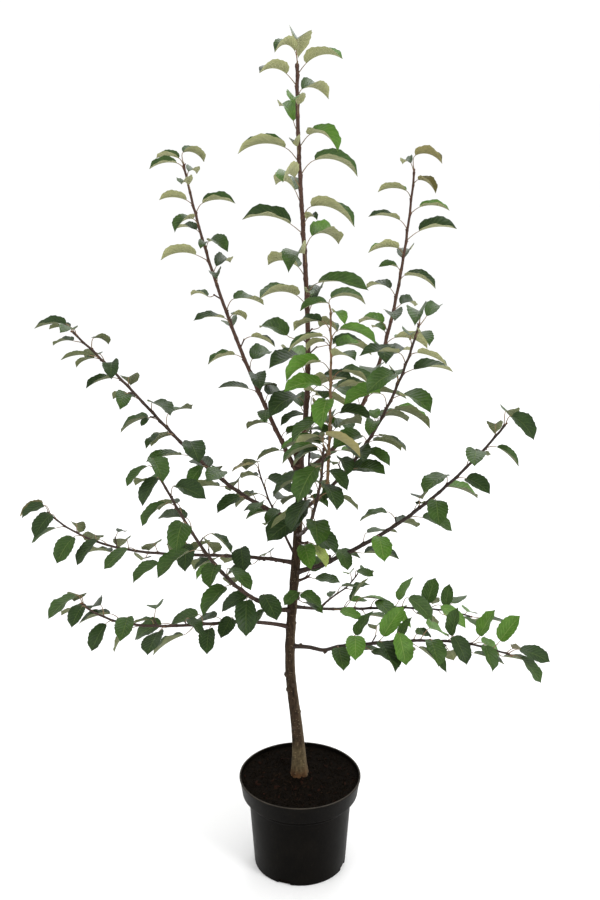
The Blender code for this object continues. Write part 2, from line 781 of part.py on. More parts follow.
def build_tree(parts, cutters, bark, shoot_bark, leaf_green):
    routes, by_node = plan_routes()
    points, radii = trunk_route()
    trunk = tube("trunk", points, radii, TRUNK_SIDES, parts, bark)
    smooth_shading(trunk)
    crown = Crown()
    crown.add_limb("trunk", points, radii)
    for route in routes.values():
        limb = route.limb
        if limb.node:
            crown.add_limb(limb.node, *route.stretch(0.0, limb.bare))
            crown.add_limb(limb.leaves, *route.stretch(limb.bare, route.length))
        else:
            crown.add_limb(limb.leaves, *route.stretch(0.0, route.length))
    counts = {}
    for index, (name, route) in enumerate(routes.items()):
        limb = route.limb
        if limb.node:
            bough = tube(limb.node, *route.stretch(0.0, limb.bare), BOUGH_SIDES, parts, shoot_bark)
            boolean(bough, parent_tube(limb, by_node, cutters), "DIFFERENCE")
            keep_largest(bough)
            smooth_shading(bough)
            stem = tube(name, *route.stretch(limb.bare + GAP, route.length), STEM_SIDES, parts, leaf_green)
        else:
            stem = tube(name, *route.stretch(0.0, route.length), STEM_SIDES, parts, leaf_green)
            boolean(stem, parent_tube(limb, by_node, cutters), "DIFFERENCE")
            keep_largest(stem)
        leaves, spurs = grow_mass(index, route, crown)
        pieces = spurs + [leaf_rings(leaf) for leaf in leaves]
        solver, scraps = fuse_mass(stem, pieces)
        counts[name] = (len(leaves), len(spurs), len(stem.data.polygons), solver, scraps)
    return counts


def main():
    clear_scene()
    parts = new_collection("dwarf_apple_tree")
    cutters = new_collection("cutters")
    plastic = make_material("black_plastic", (0.012, 0.012, 0.012), 0.45)
    compost = make_material("compost", (0.012, 0.009, 0.007), 0.95)
    bark = make_material("bark", (0.060, 0.043, 0.028), 0.80)
    shoot_bark = make_material("shoot_bark", (0.045, 0.026, 0.022), 0.60)
    leaf_green = make_material("leaf_green", (0.045, 0.100, 0.025), 0.50)
    build_pot(parts, cutters, plastic)
    build_soil(parts, compost)
    counts = build_tree(parts, cutters, bark, shoot_bark, leaf_green)
    for name, count in counts.items():
        print(name, "leaves %d spurs %d faces %d solver %s scraps %d" % count)
    print("leaves in all", sum(count[0] for count in counts.values()))


main()
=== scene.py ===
# %% [markdown]
# A dwarf apple tree in a nursery pot
#
# The real thing is a young apple tree from a tree nursery: one trunk, cut back once to a
# short stub, a leader that took over beside the stub, ten boughs and some lesser shoots,
# all in summer leaf, in a round black plastic pot of moist compost.
#
# This file dresses the solid model of that tree.  The solids say where each limb and each
# leaf is.  Here every one of them gets its real surface: bark with lenticels and buds,
# thin folded leaves with toothed edges, crumbly compost and scuffed black plastic.
# The cells run from top to bottom, and each prints what it made.

# %% Load the solid model
import json
import math
import random
from collections import namedtuple

import bmesh
import bpy
from mathutils import Matrix, Vector
from mathutils.bvhtree import BVHTree

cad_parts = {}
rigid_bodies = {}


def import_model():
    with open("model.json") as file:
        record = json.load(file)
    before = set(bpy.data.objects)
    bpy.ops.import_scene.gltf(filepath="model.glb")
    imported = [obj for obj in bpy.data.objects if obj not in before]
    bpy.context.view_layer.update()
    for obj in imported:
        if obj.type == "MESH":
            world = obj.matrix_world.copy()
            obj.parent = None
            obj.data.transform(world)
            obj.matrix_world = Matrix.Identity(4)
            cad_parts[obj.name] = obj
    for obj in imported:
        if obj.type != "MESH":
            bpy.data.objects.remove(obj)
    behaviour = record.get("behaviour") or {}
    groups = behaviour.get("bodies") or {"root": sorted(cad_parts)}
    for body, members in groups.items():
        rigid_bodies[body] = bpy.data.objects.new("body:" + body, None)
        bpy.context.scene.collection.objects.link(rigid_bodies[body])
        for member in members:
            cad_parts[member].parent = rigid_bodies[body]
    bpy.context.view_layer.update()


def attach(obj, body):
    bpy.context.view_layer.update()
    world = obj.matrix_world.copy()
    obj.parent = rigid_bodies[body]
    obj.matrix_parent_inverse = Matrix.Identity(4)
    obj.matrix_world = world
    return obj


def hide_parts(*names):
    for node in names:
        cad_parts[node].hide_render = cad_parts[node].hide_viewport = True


for item in list(bpy.data.objects):
    bpy.data.objects.remove(item, do_unlink=True)
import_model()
UP = Vector((0.0, 0.0, 1.0))

# %% [markdown]
# The camera stands where the photographer stood: at eye height, 2.3 m in front of the
# pot, looking down at 18 degrees.  The picture is 600 by 900 pixels, so Blender fits
# the 36 mm of the sensor to the tall side, and 50 mm is a normal lens.

# %% Camera
CAMERA_BACK = 2.337
CAMERA_HEIGHT = 1.702
CAMERA_PITCH = 18.01
CAMERA_LENS = 50.0
SENSOR = 36.0


def add_camera():
    camera = bpy.data.cameras.new("camera")
    camera.lens = CAMERA_LENS
    camera.sensor_width = SENSOR
    item = bpy.data.objects.new("camera", camera)
    item.location = (0.0, -CAMERA_BACK, CAMERA_HEIGHT)
    item.rotation_euler = (math.radians(90.0 - CAMERA_PITCH), 0.0, 0.0)
    bpy.context.scene.collection.objects.link(item)
    bpy.context.scene.camera = item


add_camera()
print("camera %.2f m high, %.0f mm lens" % (CAMERA_HEIGHT, CAMERA_LENS))

# %% [markdown]
# Nodes can be added by hand, in the node editor, or by a script.  A script stays short
# if one small class adds them: each call below makes one node, feeds its inputs with
# numbers or with other nodes' outputs, and returns its output.  The same class serves
# shaders and Geometry Nodes, because both have the Math and Vector Math nodes.

# %% A short way to write node trees
NODES_IN_A_ROW = 9
NODE_WIDTH = 210.0
NODE_DEPTH = 250.0


class Graph:
    """Writes nodes into a tree: each call adds one node and returns its output."""

    def __init__(self, tree):
        self.tree = tree

    def node(self, kind, inputs=None, output=0, **settings):
        made = self.tree.nodes.new(kind)
        row, column = divmod(len(self.tree.nodes), NODES_IN_A_ROW)
        made.location = (NODE_WIDTH * column, -NODE_DEPTH * row)
        for name, value in settings.items():
            setattr(made, name, value)
        for key, value in (inputs or {}).items():
            self.feed(made.inputs[key], value)
        return made.outputs[output]

    def feed(self, socket, value):
        if isinstance(value, bpy.types.NodeSocket):
            self.tree.links.new(value, socket)
        else:
            socket.default_value = value

    def math(self, operation, a, b=0.0, c=0.0):
        return self.node("ShaderNodeMath", {0: a, 1: b, 2: c}, operation=operation)

    def add(self, a, b):
        return self.math("ADD", a, b)

    def subtract(self, a, b):
        return self.math("SUBTRACT", a, b)

    def times(self, a, b):
        return self.math("MULTIPLY", a, b)

    def clamp(self, value):
        return self.node("ShaderNodeClamp", {"Value": value})

    def between(self, value, low, high, to_low=0.0, to_high=1.0):
        """A value's share of the way from low to high, kept between the two ends."""
        ends = {"Value": value, "From Min": low, "From Max": high, "To Min": to_low, "To Max": to_high}
        return self.node("ShaderNodeMapRange", ends)

    def vector(self, operation, a, b=(0.0, 0.0, 0.0)):
        output = 1 if operation in ("DOT_PRODUCT", "LENGTH", "DISTANCE") else 0
        return self.node("ShaderNodeVectorMath", {0: a, 1: b}, output, operation=operation)

    def scaled(self, a, factor):
        return self.node("ShaderNodeVectorMath", {0: a, "Scale": factor}, operation="SCALE")

    def combined(self, x, y, z):
        return self.node("ShaderNodeCombineXYZ", {"X": x, "Y": y, "Z": z})

    def part(self, vector, axis):
        return self.node("ShaderNodeSeparateXYZ", {"Vector": vector}, "XYZ".index(axis))

    def blend(self, share, a, b):
        """A colour part of the way from a to b."""
        return self.node("ShaderNodeMix", {0: share, 6: a, 7: b}, 2, data_type="RGBA")

    def noise(self, vector, scale, detail=2.0, roughness=0.5):
        inputs = {"Vector": vector, "Scale": scale, "Detail": detail, "Roughness": roughness}
        return self.node("ShaderNodeTexNoise", inputs)


def new_group(name, kind, inputs, outputs):
    """An empty node group with named sockets, and the graph that writes into it."""
    group = bpy.data.node_groups.new(name, kind)
    for label, holds, *value in inputs:
        socket = group.interface.new_socket(label, in_out="INPUT", socket_type="NodeSocket" + holds)
        if value:
            socket.default_value = value[0]
    for label, holds in outputs:
        group.interface.new_socket(label, in_out="OUTPUT", socket_type="NodeSocket" + holds)
    graph = Graph(group)
    source = group.nodes.new("NodeGroupInput")
    sink = group.nodes.new("NodeGroupOutput")
    return group, graph, source.outputs, sink.inputs


def new_material(name, roughness, **constants):
    """A material, its graph and its shader, with plain values set on the shader's sockets."""
    made = bpy.data.materials.new(name)
    made.use_nodes = True
    shader = made.node_tree.nodes["Principled BSDF"]
    shader.inputs["Roughness"].default_value = roughness
    for label, value in constants.items():
        shader.inputs[label.replace("_", " ")].default_value = value
    return made, Graph(made.node_tree), shader


def rgb(red, green, blue):
    """A colour from the 0 to 255 values of a picture, as the linear values that Blender uses."""
    def linear(value):
        share = value / 255.0
        return share / 12.92 if share <= 0.04045 else ((share + 0.055) / 1.055) ** 2.4
    return (linear(red), linear(green), linear(blue), 1.0)


print("node writer ready")

# %% [markdown]
# Geometry Nodes work as a modifier.  Its inputs are set by each socket's identifier,
# before Blender first works the object out.  The result is then kept as a plain mesh and
# the modifier goes, so that what is seen, what is exported and what rides on the model
# are the same.

# %% Run a node tree once and keep its mesh
def keep_result(item):
    """Give an object the mesh that its modifiers make, and take them off."""
    graph = bpy.context.evaluated_depsgraph_get()
    mesh = bpy.data.meshes.new_from_object(item.evaluated_get(graph))
    mesh.name = item.name
    item.modifiers.clear()
    item.data = mesh
    return item


def run_nodes(item, group, values):
    """Give an object the mesh that a geometry tree makes of it."""
    modifier = item.modifiers.new(group.name, "NODES")
    modifier.node_group = group
    for socket in group.interface.items_tree:
        if socket.item_type == "SOCKET" and socket.in_out == "INPUT" and socket.name in values:
            modifier[socket.identifier] = values[socket.name]
    return keep_result(item)


def add_object(name, mesh):
    item = bpy.data.objects.new(name, mesh)
    bpy.context.scene.collection.objects.link(item)
    return item


def add_shape(name, shape):
    """An object from a shape that was built up point by point."""
    mesh = bpy.data.meshes.new(name)
    shape.to_mesh(mesh)
    shape.free()
    return add_object(name, mesh)


def set_column(mesh, label, values, kind="FLOAT", domain="POINT"):
    """Write one attribute, with a number or a vector for each point or face."""
    if isinstance(values[0], Vector):
        attribute = mesh.attributes.new(label, "FLOAT_VECTOR", domain)
        attribute.data.foreach_set("vector", [number for value in values for number in value])
    else:
        attribute = mesh.attributes.new(label, kind, domain)
        attribute.data.foreach_set("value", values)


def add_points(name, points, edges, **columns):
    """A mesh of bare points with one attribute for each column, for a tree to build on."""
    mesh = bpy.data.meshes.new(name)
    mesh.from_pydata(points, edges, [])
    for label, values in columns.items():
        set_column(mesh, label, values)
    return add_object(name, mesh)


def remove(item):
    bpy.data.objects.remove(item, do_unlink=True)


def settle(item, slot, *nodes):
    """The piece stands for its solids, hides them and rides on the one body."""
    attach(item, "root")
    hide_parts(*nodes)


print("geometry helpers ready")

# %% [markdown]
# The photograph is a cut-out on white, lit from all round by something large and soft,
# a little stronger from the front right.  A pale floor, a white sky and three broad lamps
# give that: the sky fills the shade, and the lamps give the leaves and the black plastic
# their soft shine.

# %% Floor and light
FLOOR_RADIUS = 60.0
FLOOR_SIDES = 96
FLOOR_TONE = 0.97
SKY_STRENGTH = 1.06
# name: place, size and power of each lamp; all of them look at the middle of the crown
LAMPS = {
    "key": ((2.4, -2.4, 3.2), 1.5, 78.0),
    "fill": ((-2.8, -2.0, 2.0), 2.2, 16.0),
    "back": ((0.6, 3.0, 3.0), 2.4, 34.0),
}
LAMP_TARGET = Vector((0.0, 0.0, 0.9))


def add_floor():
    shape = bmesh.new()
    bmesh.ops.create_circle(shape, cap_ends=True, segments=FLOOR_SIDES, radius=FLOOR_RADIUS)
    floor = add_shape("floor", shape)
    grey = (FLOOR_TONE, FLOOR_TONE, FLOOR_TONE, 1.0)
    paint, _, _ = new_material("floor_paint", 0.9, Base_Color=grey, Specular_IOR_Level=0.1)
    floor.data.materials.append(paint)


def add_lights():
    world = bpy.data.worlds.new("white_studio")
    world.use_nodes = True
    sky = world.node_tree.nodes["Background"]
    sky.inputs["Color"].default_value = (1.0, 1.0, 1.0, 1.0)
    sky.inputs["Strength"].default_value = SKY_STRENGTH
    bpy.context.scene.world = world
    for name, (place, size, power) in LAMPS.items():
        lamp = bpy.data.lights.new(name, "AREA")
        lamp.shape = "DISK"
        lamp.size = size
        lamp.energy = power
        item = bpy.data.objects.new(name, lamp)
        item.location = place
        item.rotation_euler = (LAMP_TARGET - Vector(place)).to_track_quat("-Z", "Y").to_euler()
        bpy.context.scene.collection.objects.link(item)


add_floor()
add_lights()
bpy.context.scene.view_settings.view_transform = "Standard"
print("floor, sky and", len(LAMPS), "lamps")

# %% [markdown]
# The trunk is one line: it stands a little behind the pot's centre, bows to the left low
# down and ends in a leaning stub.  It tapers upwards and flares at its foot.  These are
# the numbers of the solid model, so the trunk here runs through the middle of its solid.

# %% The trunk's line
SOIL_TOP = 0.203
GAP = 0.0003
TRUNK_Y = 0.012
TRUNK_BOW = 0.021
BOW_HEIGHT = 0.480
BOW_SPREAD_BELOW = 0.150
BOW_SPREAD_ABOVE = 0.230
TRUNK_TOP = 0.940
TRUNK_FOOT_RADIUS = 0.0125
TRUNK_TOP_RADIUS = 0.0064
FLARE = 0.0070
FLARE_HEIGHT = 0.050
STUB_LENGTH = 0.035
STUB_LEAN = 0.009
TRUNK_POINTS = 25
TRUNK_CROWDING = 1.15


def trunk_x(height):
    """How far the trunk's middle stands to the right at a height, before the stub leans."""
    spread = BOW_SPREAD_BELOW if height < BOW_HEIGHT else BOW_SPREAD_ABOVE
    return -TRUNK_BOW * math.exp(-((height - BOW_HEIGHT) / spread) ** 2)


def trunk_point(height):
    lean = max(0.0, height - (TRUNK_TOP - STUB_LENGTH)) / STUB_LENGTH
    return Vector((trunk_x(height) - STUB_LEAN * lean, TRUNK_Y, height))


def trunk_radius(height):
    share = (height - SOIL_TOP) / (TRUNK_TOP - SOIL_TOP)
    taper = TRUNK_FOOT_RADIUS + (TRUNK_TOP_RADIUS - TRUNK_FOOT_RADIUS) * share
    return taper + FLARE * math.exp(-(height - SOIL_TOP) / FLARE_HEIGHT)


def trunk_route():
    """Middle points and radii from the flat cut at the compost to the pruned stub."""
    foot = SOIL_TOP + GAP
    shares = [(i / TRUNK_POINTS) ** TRUNK_CROWDING for i in range(TRUNK_POINTS + 1)]
    heights = [foot + (TRUNK_TOP - foot) * share for share in shares]
    points = [trunk_point(height) for height in heights]
    points[0].x = points[1].x
    return points, [trunk_radius(height) for height in heights]


print("trunk: %.2f m from the compost to its pruned top" % (TRUNK_TOP - SOIL_TOP))

# %% [markdown]
# Each limb is one Bezier curve, worked out from the place where it leaves its parent, its
# heading, how far it reaches and rises, and the slopes at its two ends.  A limb without a
# node of its own is a thin shoot that belongs to its mass of leaves.

# %% The limbs in numbers
# foot is a height on the trunk, or the distance along the parent limb;
# heading, leave, arrive, lift and droop are degrees, and all the rest metres
Limb = namedtuple(
    "Limb",
    "node leaves grows_from foot heading reach rise leave arrive "
    "thick thin bare leaf gap lift droop",
)
LIMBS = (
    Limb("leader", "leaves_leader", "trunk", 0.905,
         0, -0.004, 0.765, 81, 89, 0.0056, 0.0032, 0.060, 0.104, 0.025, 34, 74),
    Limb("bough_left_high", "leaves_left_high", "trunk", 0.882,
         150, 0.260, 0.599, 58, 77, 0.0048, 0.0022, 0.050, 0.073, 0.024, 22, 62),
    Limb("bough_left_middle", "leaves_left_middle", "trunk", 0.788,
         190, 0.427, 0.405, 21, 44, 0.0045, 0.0020, 0.036, 0.070, 0.021, 14, 66),
    Limb("bough_left_level", "leaves_left_level", "trunk", 0.696,
         158, 0.588, 0.026, 3, 36, 0.0042, 0.0019, 0.050, 0.082, 0.025, 0, 66),
    Limb("bough_left_rising", "leaves_left_rising", "trunk", 0.592,
         220, 0.320, 0.376, 19, 63, 0.0048, 0.0021, 0.060, 0.078, 0.024, 0, 66),
    Limb("bough_left_low", "leaves_left_low", "trunk", 0.552,
         204, 0.435, 0.136, 26, 48, 0.0043, 0.0018, 0.125, 0.076, 0.022, -4, 62),
    Limb("bough_right_low", "leaves_right_low", "trunk", 0.510,
         -28, 0.475, 0.092, 8, -10, 0.0044, 0.0018, 0.110, 0.076, 0.022, 0, 60),
    Limb("bough_right_slender", "leaves_right_slender", "trunk", 0.600,
         12, 0.390, -0.063, -14, -24, 0.0034, 0.0016, 0.085, 0.074, 0.022, 6, 56),
    Limb("bough_right_rising", "leaves_right_rising", "trunk", 0.675,
         -20, 0.416, 0.360, 24, 55, 0.0050, 0.0021, 0.080, 0.076, 0.027, 12, 66),
    Limb("bough_right_high", "leaves_right_high", "trunk", 0.891,
         40, 0.299, 0.571, 7, 84, 0.0052, 0.0022, 0.080, 0.084, 0.025, 26, 66),
    Limb("bough_right_middle", "leaves_right_middle", "trunk", 0.807,
         -40, 0.279, 0.425, 37, 74, 0.0042, 0.0020, 0.112, 0.080, 0.018, 20, 66),
    Limb("", "leaves_upright_shoot", "bough_right_middle", 0.096,
         -85, 0.042, 0.366, 67, 101, 0.0032, 0.0018, 0.040, 0.082, 0.016, 20, 70),
    Limb("", "leaves_front_shoot", "trunk", 0.759,
         -76, 0.200, 0.248, 20, 80, 0.0040, 0.0020, 0.050, 0.088, 0.022, 8, 74),
    Limb("", "leaves_back_shoot", "trunk", 0.769,
         68, 0.075, 0.235, 40, 80, 0.0028, 0.0017, 0.050, 0.070, 0.026, 12, 66),
    Limb("", "leaves_back_left_shoot", "trunk", 0.709,
         118, 0.170, 0.139, 30, 55, 0.0028, 0.0016, 0.055, 0.068, 0.026, 10, 66),
    Limb("", "leaves_right_twig", "bough_right_slender", 0.060,
         48, 0.120, 0.038, 30, 42, 0.0022, 0.0014, 0.030, 0.052, 0.022, 10, 60),
    Limb("", "leaves_spur_high", "trunk", 0.742,
         -52, 0.034, 0.012, 12, 40, 0.0030, 0.0024, 0.024, 0.070, 0.006, 4, 70),
    Limb("", "leaves_spur_middle", "trunk", 0.655,
         -12, 0.032, 0.018, 20, 50, 0.0028, 0.0022, 0.023, 0.058, 0.006, 30, 60),
    Limb("", "leaves_spur_low", "trunk", 0.618,
         -66, 0.032, 0.014, 15, 40, 0.0028, 0.0022, 0.023, 0.056, 0.006, 10, 64),
)
print("limbs:", len(LIMBS))

# %% [markdown]
# A route is such a curve, cut into short straight pieces with the distance to each of
# them.  Every later step asks it for the place, the direction or the thickness at a
# distance from the limb's foot.

# %% Routes: limbs read by the distance along them
LIMB_PULL = 0.34
ROUTE_STEPS = 200
HALF_SIGHT = 0.002
STEP = 0.040
END_STEP = 0.0015


class Route:
    """A limb's middle line, read by the distance along it."""

    def __init__(self, limb, foot):
        heading = math.radians(limb.heading)
        self.limb = limb
        self.out = Vector((math.cos(heading), math.sin(heading), 0.0))
        self.side = Vector((-math.sin(heading), math.cos(heading), 0.0))
        pull = LIMB_PULL * math.hypot(limb.reach, limb.rise)
        tip = foot + self.out * limb.reach + UP * limb.rise
        first = foot + self.slope(limb.leave) * pull
        last = tip - self.slope(limb.arrive) * pull
        self.points = []
        for i in range(ROUTE_STEPS + 1):
            t = i / ROUTE_STEPS
            u = 1.0 - t
            near = foot * u**3 + first * (3 * u * u * t)
            far = last * (3 * u * t * t) + tip * t**3
            self.points.append(near + far)
        self.marks = [0.0]
        for a, b in zip(self.points, self.points[1:]):
            self.marks.append(self.marks[-1] + (b - a).length)
        self.length = self.marks[-1]

    def slope(self, degrees):
        angle = math.radians(degrees)
        return self.out * math.cos(angle) + UP * math.sin(angle)

    def at(self, distance):
        distance = min(max(distance, 0.0), self.length)
        low = 0
        while low < ROUTE_STEPS - 1 and self.marks[low + 1] < distance:
            low += 1
        span = self.marks[low + 1] - self.marks[low]
        share = (distance - self.marks[low]) / span
        return self.points[low].lerp(self.points[low + 1], share)

    def along(self, distance):
        return (self.at(distance + HALF_SIGHT) - self.at(distance - HALF_SIGHT)).normalized()

    def radius(self, distance):
        share = distance / self.length
        return self.limb.thick + (self.limb.thin - self.limb.thick) * share

    def nearest(self, place):
        """The distance along the limb nearest to a place, and the gap between them."""
        gaps = [(point - place).length for point in self.points]
        return self.marks[gaps.index(min(gaps))], min(gaps)

    def stretch(self, start, end):
        """Points and radii between two distances, with short end steps that set flat ends square."""
        inner_start = start + END_STEP
        inner_end = end - END_STEP
        count = max(1, math.ceil((inner_end - inner_start) / STEP))
        marks = [inner_start + (inner_end - inner_start) * i / count for i in range(count + 1)]
        marks = [start, *marks, end]
        return [self.at(mark) for mark in marks], [self.radius(mark) for mark in marks]


def plan_routes():
    routes = {}
    by_node = {}
    for limb in LIMBS:
        if limb.grows_from == "trunk":
            foot = trunk_point(limb.foot)
        else:
            foot = by_node[limb.grows_from].at(limb.foot)
        routes[limb.leaves] = Route(limb, foot)
        by_node[limb.node] = routes[limb.leaves]
    return routes


ROUTES = plan_routes()
print("the longest limb: %.2f m" % max(route.length for route in ROUTES.values()))

# %% [markdown]
# A leaf has a stalk, and a blade that lifts off and then arches over under its own weight.
# Its middle line is worked out as an arc, so that every later step can ask for the place,
# the direction and the upper side at any share of the blade.

# %% One leaf, as the solid model has it
STALK_RADIUS = 0.0009
LEAF_SHOULDER = 0.82
LEAF_ROUNDNESS = 0.75
LEAF_THICKNESS = 0.0016
LEAF_FOLD = 24.0
BLADE_STATIONS = (0.30, 0.66)
Leaf = namedtuple("Leaf", "root stalk_end ahead lift droop roll length breadth")


def leaf_frame(leaf, share):
    """Middle, forward, sideways and upward directions at a share of the blade's length."""
    lift = math.radians(leaf.lift)
    droop = math.radians(leaf.droop)
    pitch = lift - droop * share
    level = (math.sin(lift) - math.sin(pitch)) / droop * leaf.length
    rise = (math.cos(pitch) - math.cos(lift)) / droop * leaf.length
    middle = leaf.stalk_end + leaf.ahead * level + UP * rise
    forward = leaf.ahead * math.cos(pitch) + UP * math.sin(pitch)
    side = UP.cross(leaf.ahead)
    side = Matrix.Rotation(math.radians(leaf.roll), 3, forward) @ side
    return middle, forward, side, forward.cross(side)


def leaf_half_breadth(leaf, share):
    return 0.5 * leaf.breadth * math.sin(math.pi * share**LEAF_SHOULDER) ** LEAF_ROUNDNESS


def stalk_ring(place, across, upward, radius):
    """A three-cornered ring, flat side up."""
    low = -upward * radius
    high = upward * (0.5 * radius)
    wide = across * (math.sqrt(0.75) * radius)
    return [place + wide + high, place - wide + high, place + low]


def leaf_rings(leaf, grow=0.0):
    """Rings of a leaf from its stalk's root to its blade's last station, and its point."""
    _, forward, side, _ = leaf_frame(leaf, 0.0)
    line = (leaf.stalk_end - leaf.root).normalized()
    bend = (line + forward).normalized()
    rings = []
    for place, ahead in ((leaf.root, line), (leaf.stalk_end, bend)):
        across = (side - ahead * side.dot(ahead)).normalized()
        rings.append(stalk_ring(place, across, ahead.cross(across), STALK_RADIUS + grow))
    fold = math.radians(LEAF_FOLD)
    for share in BLADE_STATIONS:
        middle, _, side, normal = leaf_frame(leaf, share)
        half = leaf_half_breadth(leaf, share) + grow
        raised = normal * (half * math.sin(fold))
        reach = side * (half * math.cos(fold))
        deep = normal * (LEAF_THICKNESS / 2 + grow)
        rings.append([middle + reach + raised, middle - reach + raised, middle - deep, middle + deep])
    point, forward, _, _ = leaf_frame(leaf, 1.0)
    return rings, point + forward * grow


print("leaf: a stalk, then a blade of", len(BLADE_STATIONS), "rings and a point")

# %% [markdown]
# Nothing in the crown may touch: a leaf that would cut through a limb or another leaf is
# turned a little further round its stem, and given up after some tries.  A BVH tree, the
# same structure that a ray tracer uses, answers whether two meshes overlap.

# %% The crown keeps its leaves apart
AROUND = {3: (0, 1, 2), 4: (0, 3, 1, 2)}
CLEARANCE = 0.0009
LIMB_CLEARANCE = 0.0015
LIMB_SLACK = 1.2
NEAR = 0.25


def loft(rings, tip):
    """Corners and faces of a closed loft through rings of three or four corners, pointed at its end."""
    corners = [corner for ring in rings for corner in ring] + [tip]
    starts = [0]
    for ring in rings:
        starts.append(starts[-1] + len(ring))
    faces = [tuple(AROUND[len(rings[0])])]
    for row in range(len(rings) - 1):
        low, high = starts[row], starts[row + 1]
        lower = [low + i for i in AROUND[len(rings[row])]]
        upper = [high + i for i in AROUND[len(rings[row + 1])]]
        if len(lower) == len(upper):
            for i, corner in enumerate(lower):
                j = (i + 1) % len(lower)
                faces.append((corner, lower[j], upper[j], upper[i]))
        else:
            right, left, under = lower
            blade_right, midrib, blade_left, blade_under = upper
            faces.append((right, midrib, blade_right))
            faces.append((right, left, midrib))
            faces.append((left, blade_left, midrib))
            faces.append((left, under, blade_under, blade_left))
            faces.append((under, right, blade_right, blade_under))
    last = [starts[-2] + i for i in AROUND[len(rings[-1])]]
    for i, corner in enumerate(last):
        faces.append((corner, last[(i + 1) % len(last)], starts[-1]))
    return corners, faces


def tree_of(rings, tip):
    return BVHTree.FromPolygons(*loft(rings, tip))


class Crown:
    """What already stands in the crown, so that nothing new touches it."""

    def __init__(self):
        self.limbs = []
        self.leaves = []

    def add_limb(self, name, points, radii):
        rings = []
        for i, point in enumerate(points):
            ahead = (points[min(i + 1, len(points) - 1)] - points[max(i - 1, 0)]).normalized()
            across = ahead.orthogonal().normalized()
            upward = across.cross(ahead)
            wide = (radii[i] + LIMB_CLEARANCE) * LIMB_SLACK
            rings.append([
                point + across * wide, point - across * wide,
                point - upward * wide, point + upward * wide,
            ])
        self.limbs.append((name, tree_of(rings, points[-1]), points))

    def nearest_limb(self, place):
        def gap(points):
            return min((point - place).length for point in points)
        return min(self.limbs, key=lambda limb: gap(limb[2]))[0]

    def takes(self, owner, rings, tip):
        """True where a grown leaf or twig is clear of every limb and of every leaf."""
        whole = tree_of(rings, tip)
        free = tree_of(rings[1:], tip)
        middle = rings[-1][-1]
        for name, tree, _ in self.limbs:
            if (free if name == owner else whole).overlap(tree):
                return False
        for centre, tree in self.leaves:
            if (centre - middle).length < NEAR and whole.overlap(tree):
                return False
        return True

    def add_leaf(self, rings, tip):
        self.leaves.append((rings[-1][-1], tree_of(rings, tip)))


print("crown: leaves keep %.1f mm clear" % (1000.0 * CLEARANCE))

# %% [markdown]
# A leaf's stalk stands off its stem at an angle and turns up to the light, and the blade
# hangs from the stalk's end.  Every leaf strays a little from its shoot's own size, lift
# and droop, by seeded draws that come in the same order as in the solid model.

# %% Growing one leaf
LENGTH_PLAY = 0.12
STALK_SPREAD = 52.0
SPREAD_PLAY = 9.0
STALK_RISE = 0.22
STALK_SHARE = 0.345
STALK_PLAY = 0.20
LEAF_BREADTH = 0.635
BREADTH_PLAY = 0.11
HEADING_PLAY = 22.0
LIFT_PLAY = 14.0
DROOP_PLAY = 18.0
ROLL_PLAY = 26.0
STEEP_STALK = 0.30
SIDE_NUDGE = 0.5
TRIES = 12
TRY_TURN = 29.0
HOME_SHARE = 0.2


def stray(dice, play):
    """A seeded draw that strays up to its play from nought, either way."""
    return dice.uniform(-play, play)


def spoke_of(route, along, turn):
    """The direction square to a limb at a turn about it."""
    level = along.cross(route.side).normalized()
    return route.side * math.cos(turn) + level * math.sin(turn)


def grow_leaf(dice, route, root, along, turn, size, spread):
    """One leaf on a stalk: where it points follows the turn about its stem, and the light."""
    limb = route.limb
    angle = math.radians(spread)
    line = along * math.cos(angle) + spoke_of(route, along, turn) * math.sin(angle)
    line = (line + UP * STALK_RISE).normalized()
    length = size * (1.0 + stray(dice, LENGTH_PLAY))
    stalk = length * STALK_SHARE * (1.0 + stray(dice, STALK_PLAY))
    ahead = Vector((line.x, line.y, 0.0))
    if ahead.length < STEEP_STALK:
        ahead = ahead + route.side * math.copysign(SIDE_NUDGE, math.cos(turn))
    heading = math.radians(stray(dice, HEADING_PLAY))
    return Leaf(
        root=root,
        stalk_end=root + line * stalk,
        ahead=Matrix.Rotation(heading, 3, "Z") @ ahead.normalized(),
        lift=limb.lift + stray(dice, LIFT_PLAY),
        droop=limb.droop + stray(dice, DROOP_PLAY),
        roll=stray(dice, ROLL_PLAY),
        length=length,
        breadth=length * LEAF_BREADTH * (1.0 + stray(dice, BREADTH_PLAY)),
    )


def try_leaf(dice, crown, route, root, along, turn, size, spread):
    """A list with the leaf, turned on until it keeps to its own space, or an empty list."""
    limb = route.limb
    home = (limb.leaves, limb.node, limb.grows_from)
    for attempt in range(TRIES):
        turned_on = turn + math.radians(TRY_TURN) * attempt
        leaf = grow_leaf(dice, route, root, along, turned_on, size, spread)
        if crown.nearest_limb(leaf_frame(leaf, HOME_SHARE)[0]) not in home:
            continue
        rings, tip = leaf_rings(leaf, CLEARANCE)
        if crown.takes(limb.leaves, rings, tip):
            crown.add_leaf(*leaf_rings(leaf))
            return [leaf]
    return []


print("a leaf is tried at up to", TRIES, "turns about its stem")

# %% [markdown]
# On a shoot, leaves sit in a spiral: each is turned about two fifths of a circle on from
# the last.  The rule that fills a shoot walks from its foot to its tip.  At each step it
# puts one leaf, or now and then a short spur with a rosette.  So each leaf here is one of
# the solids' leaves.

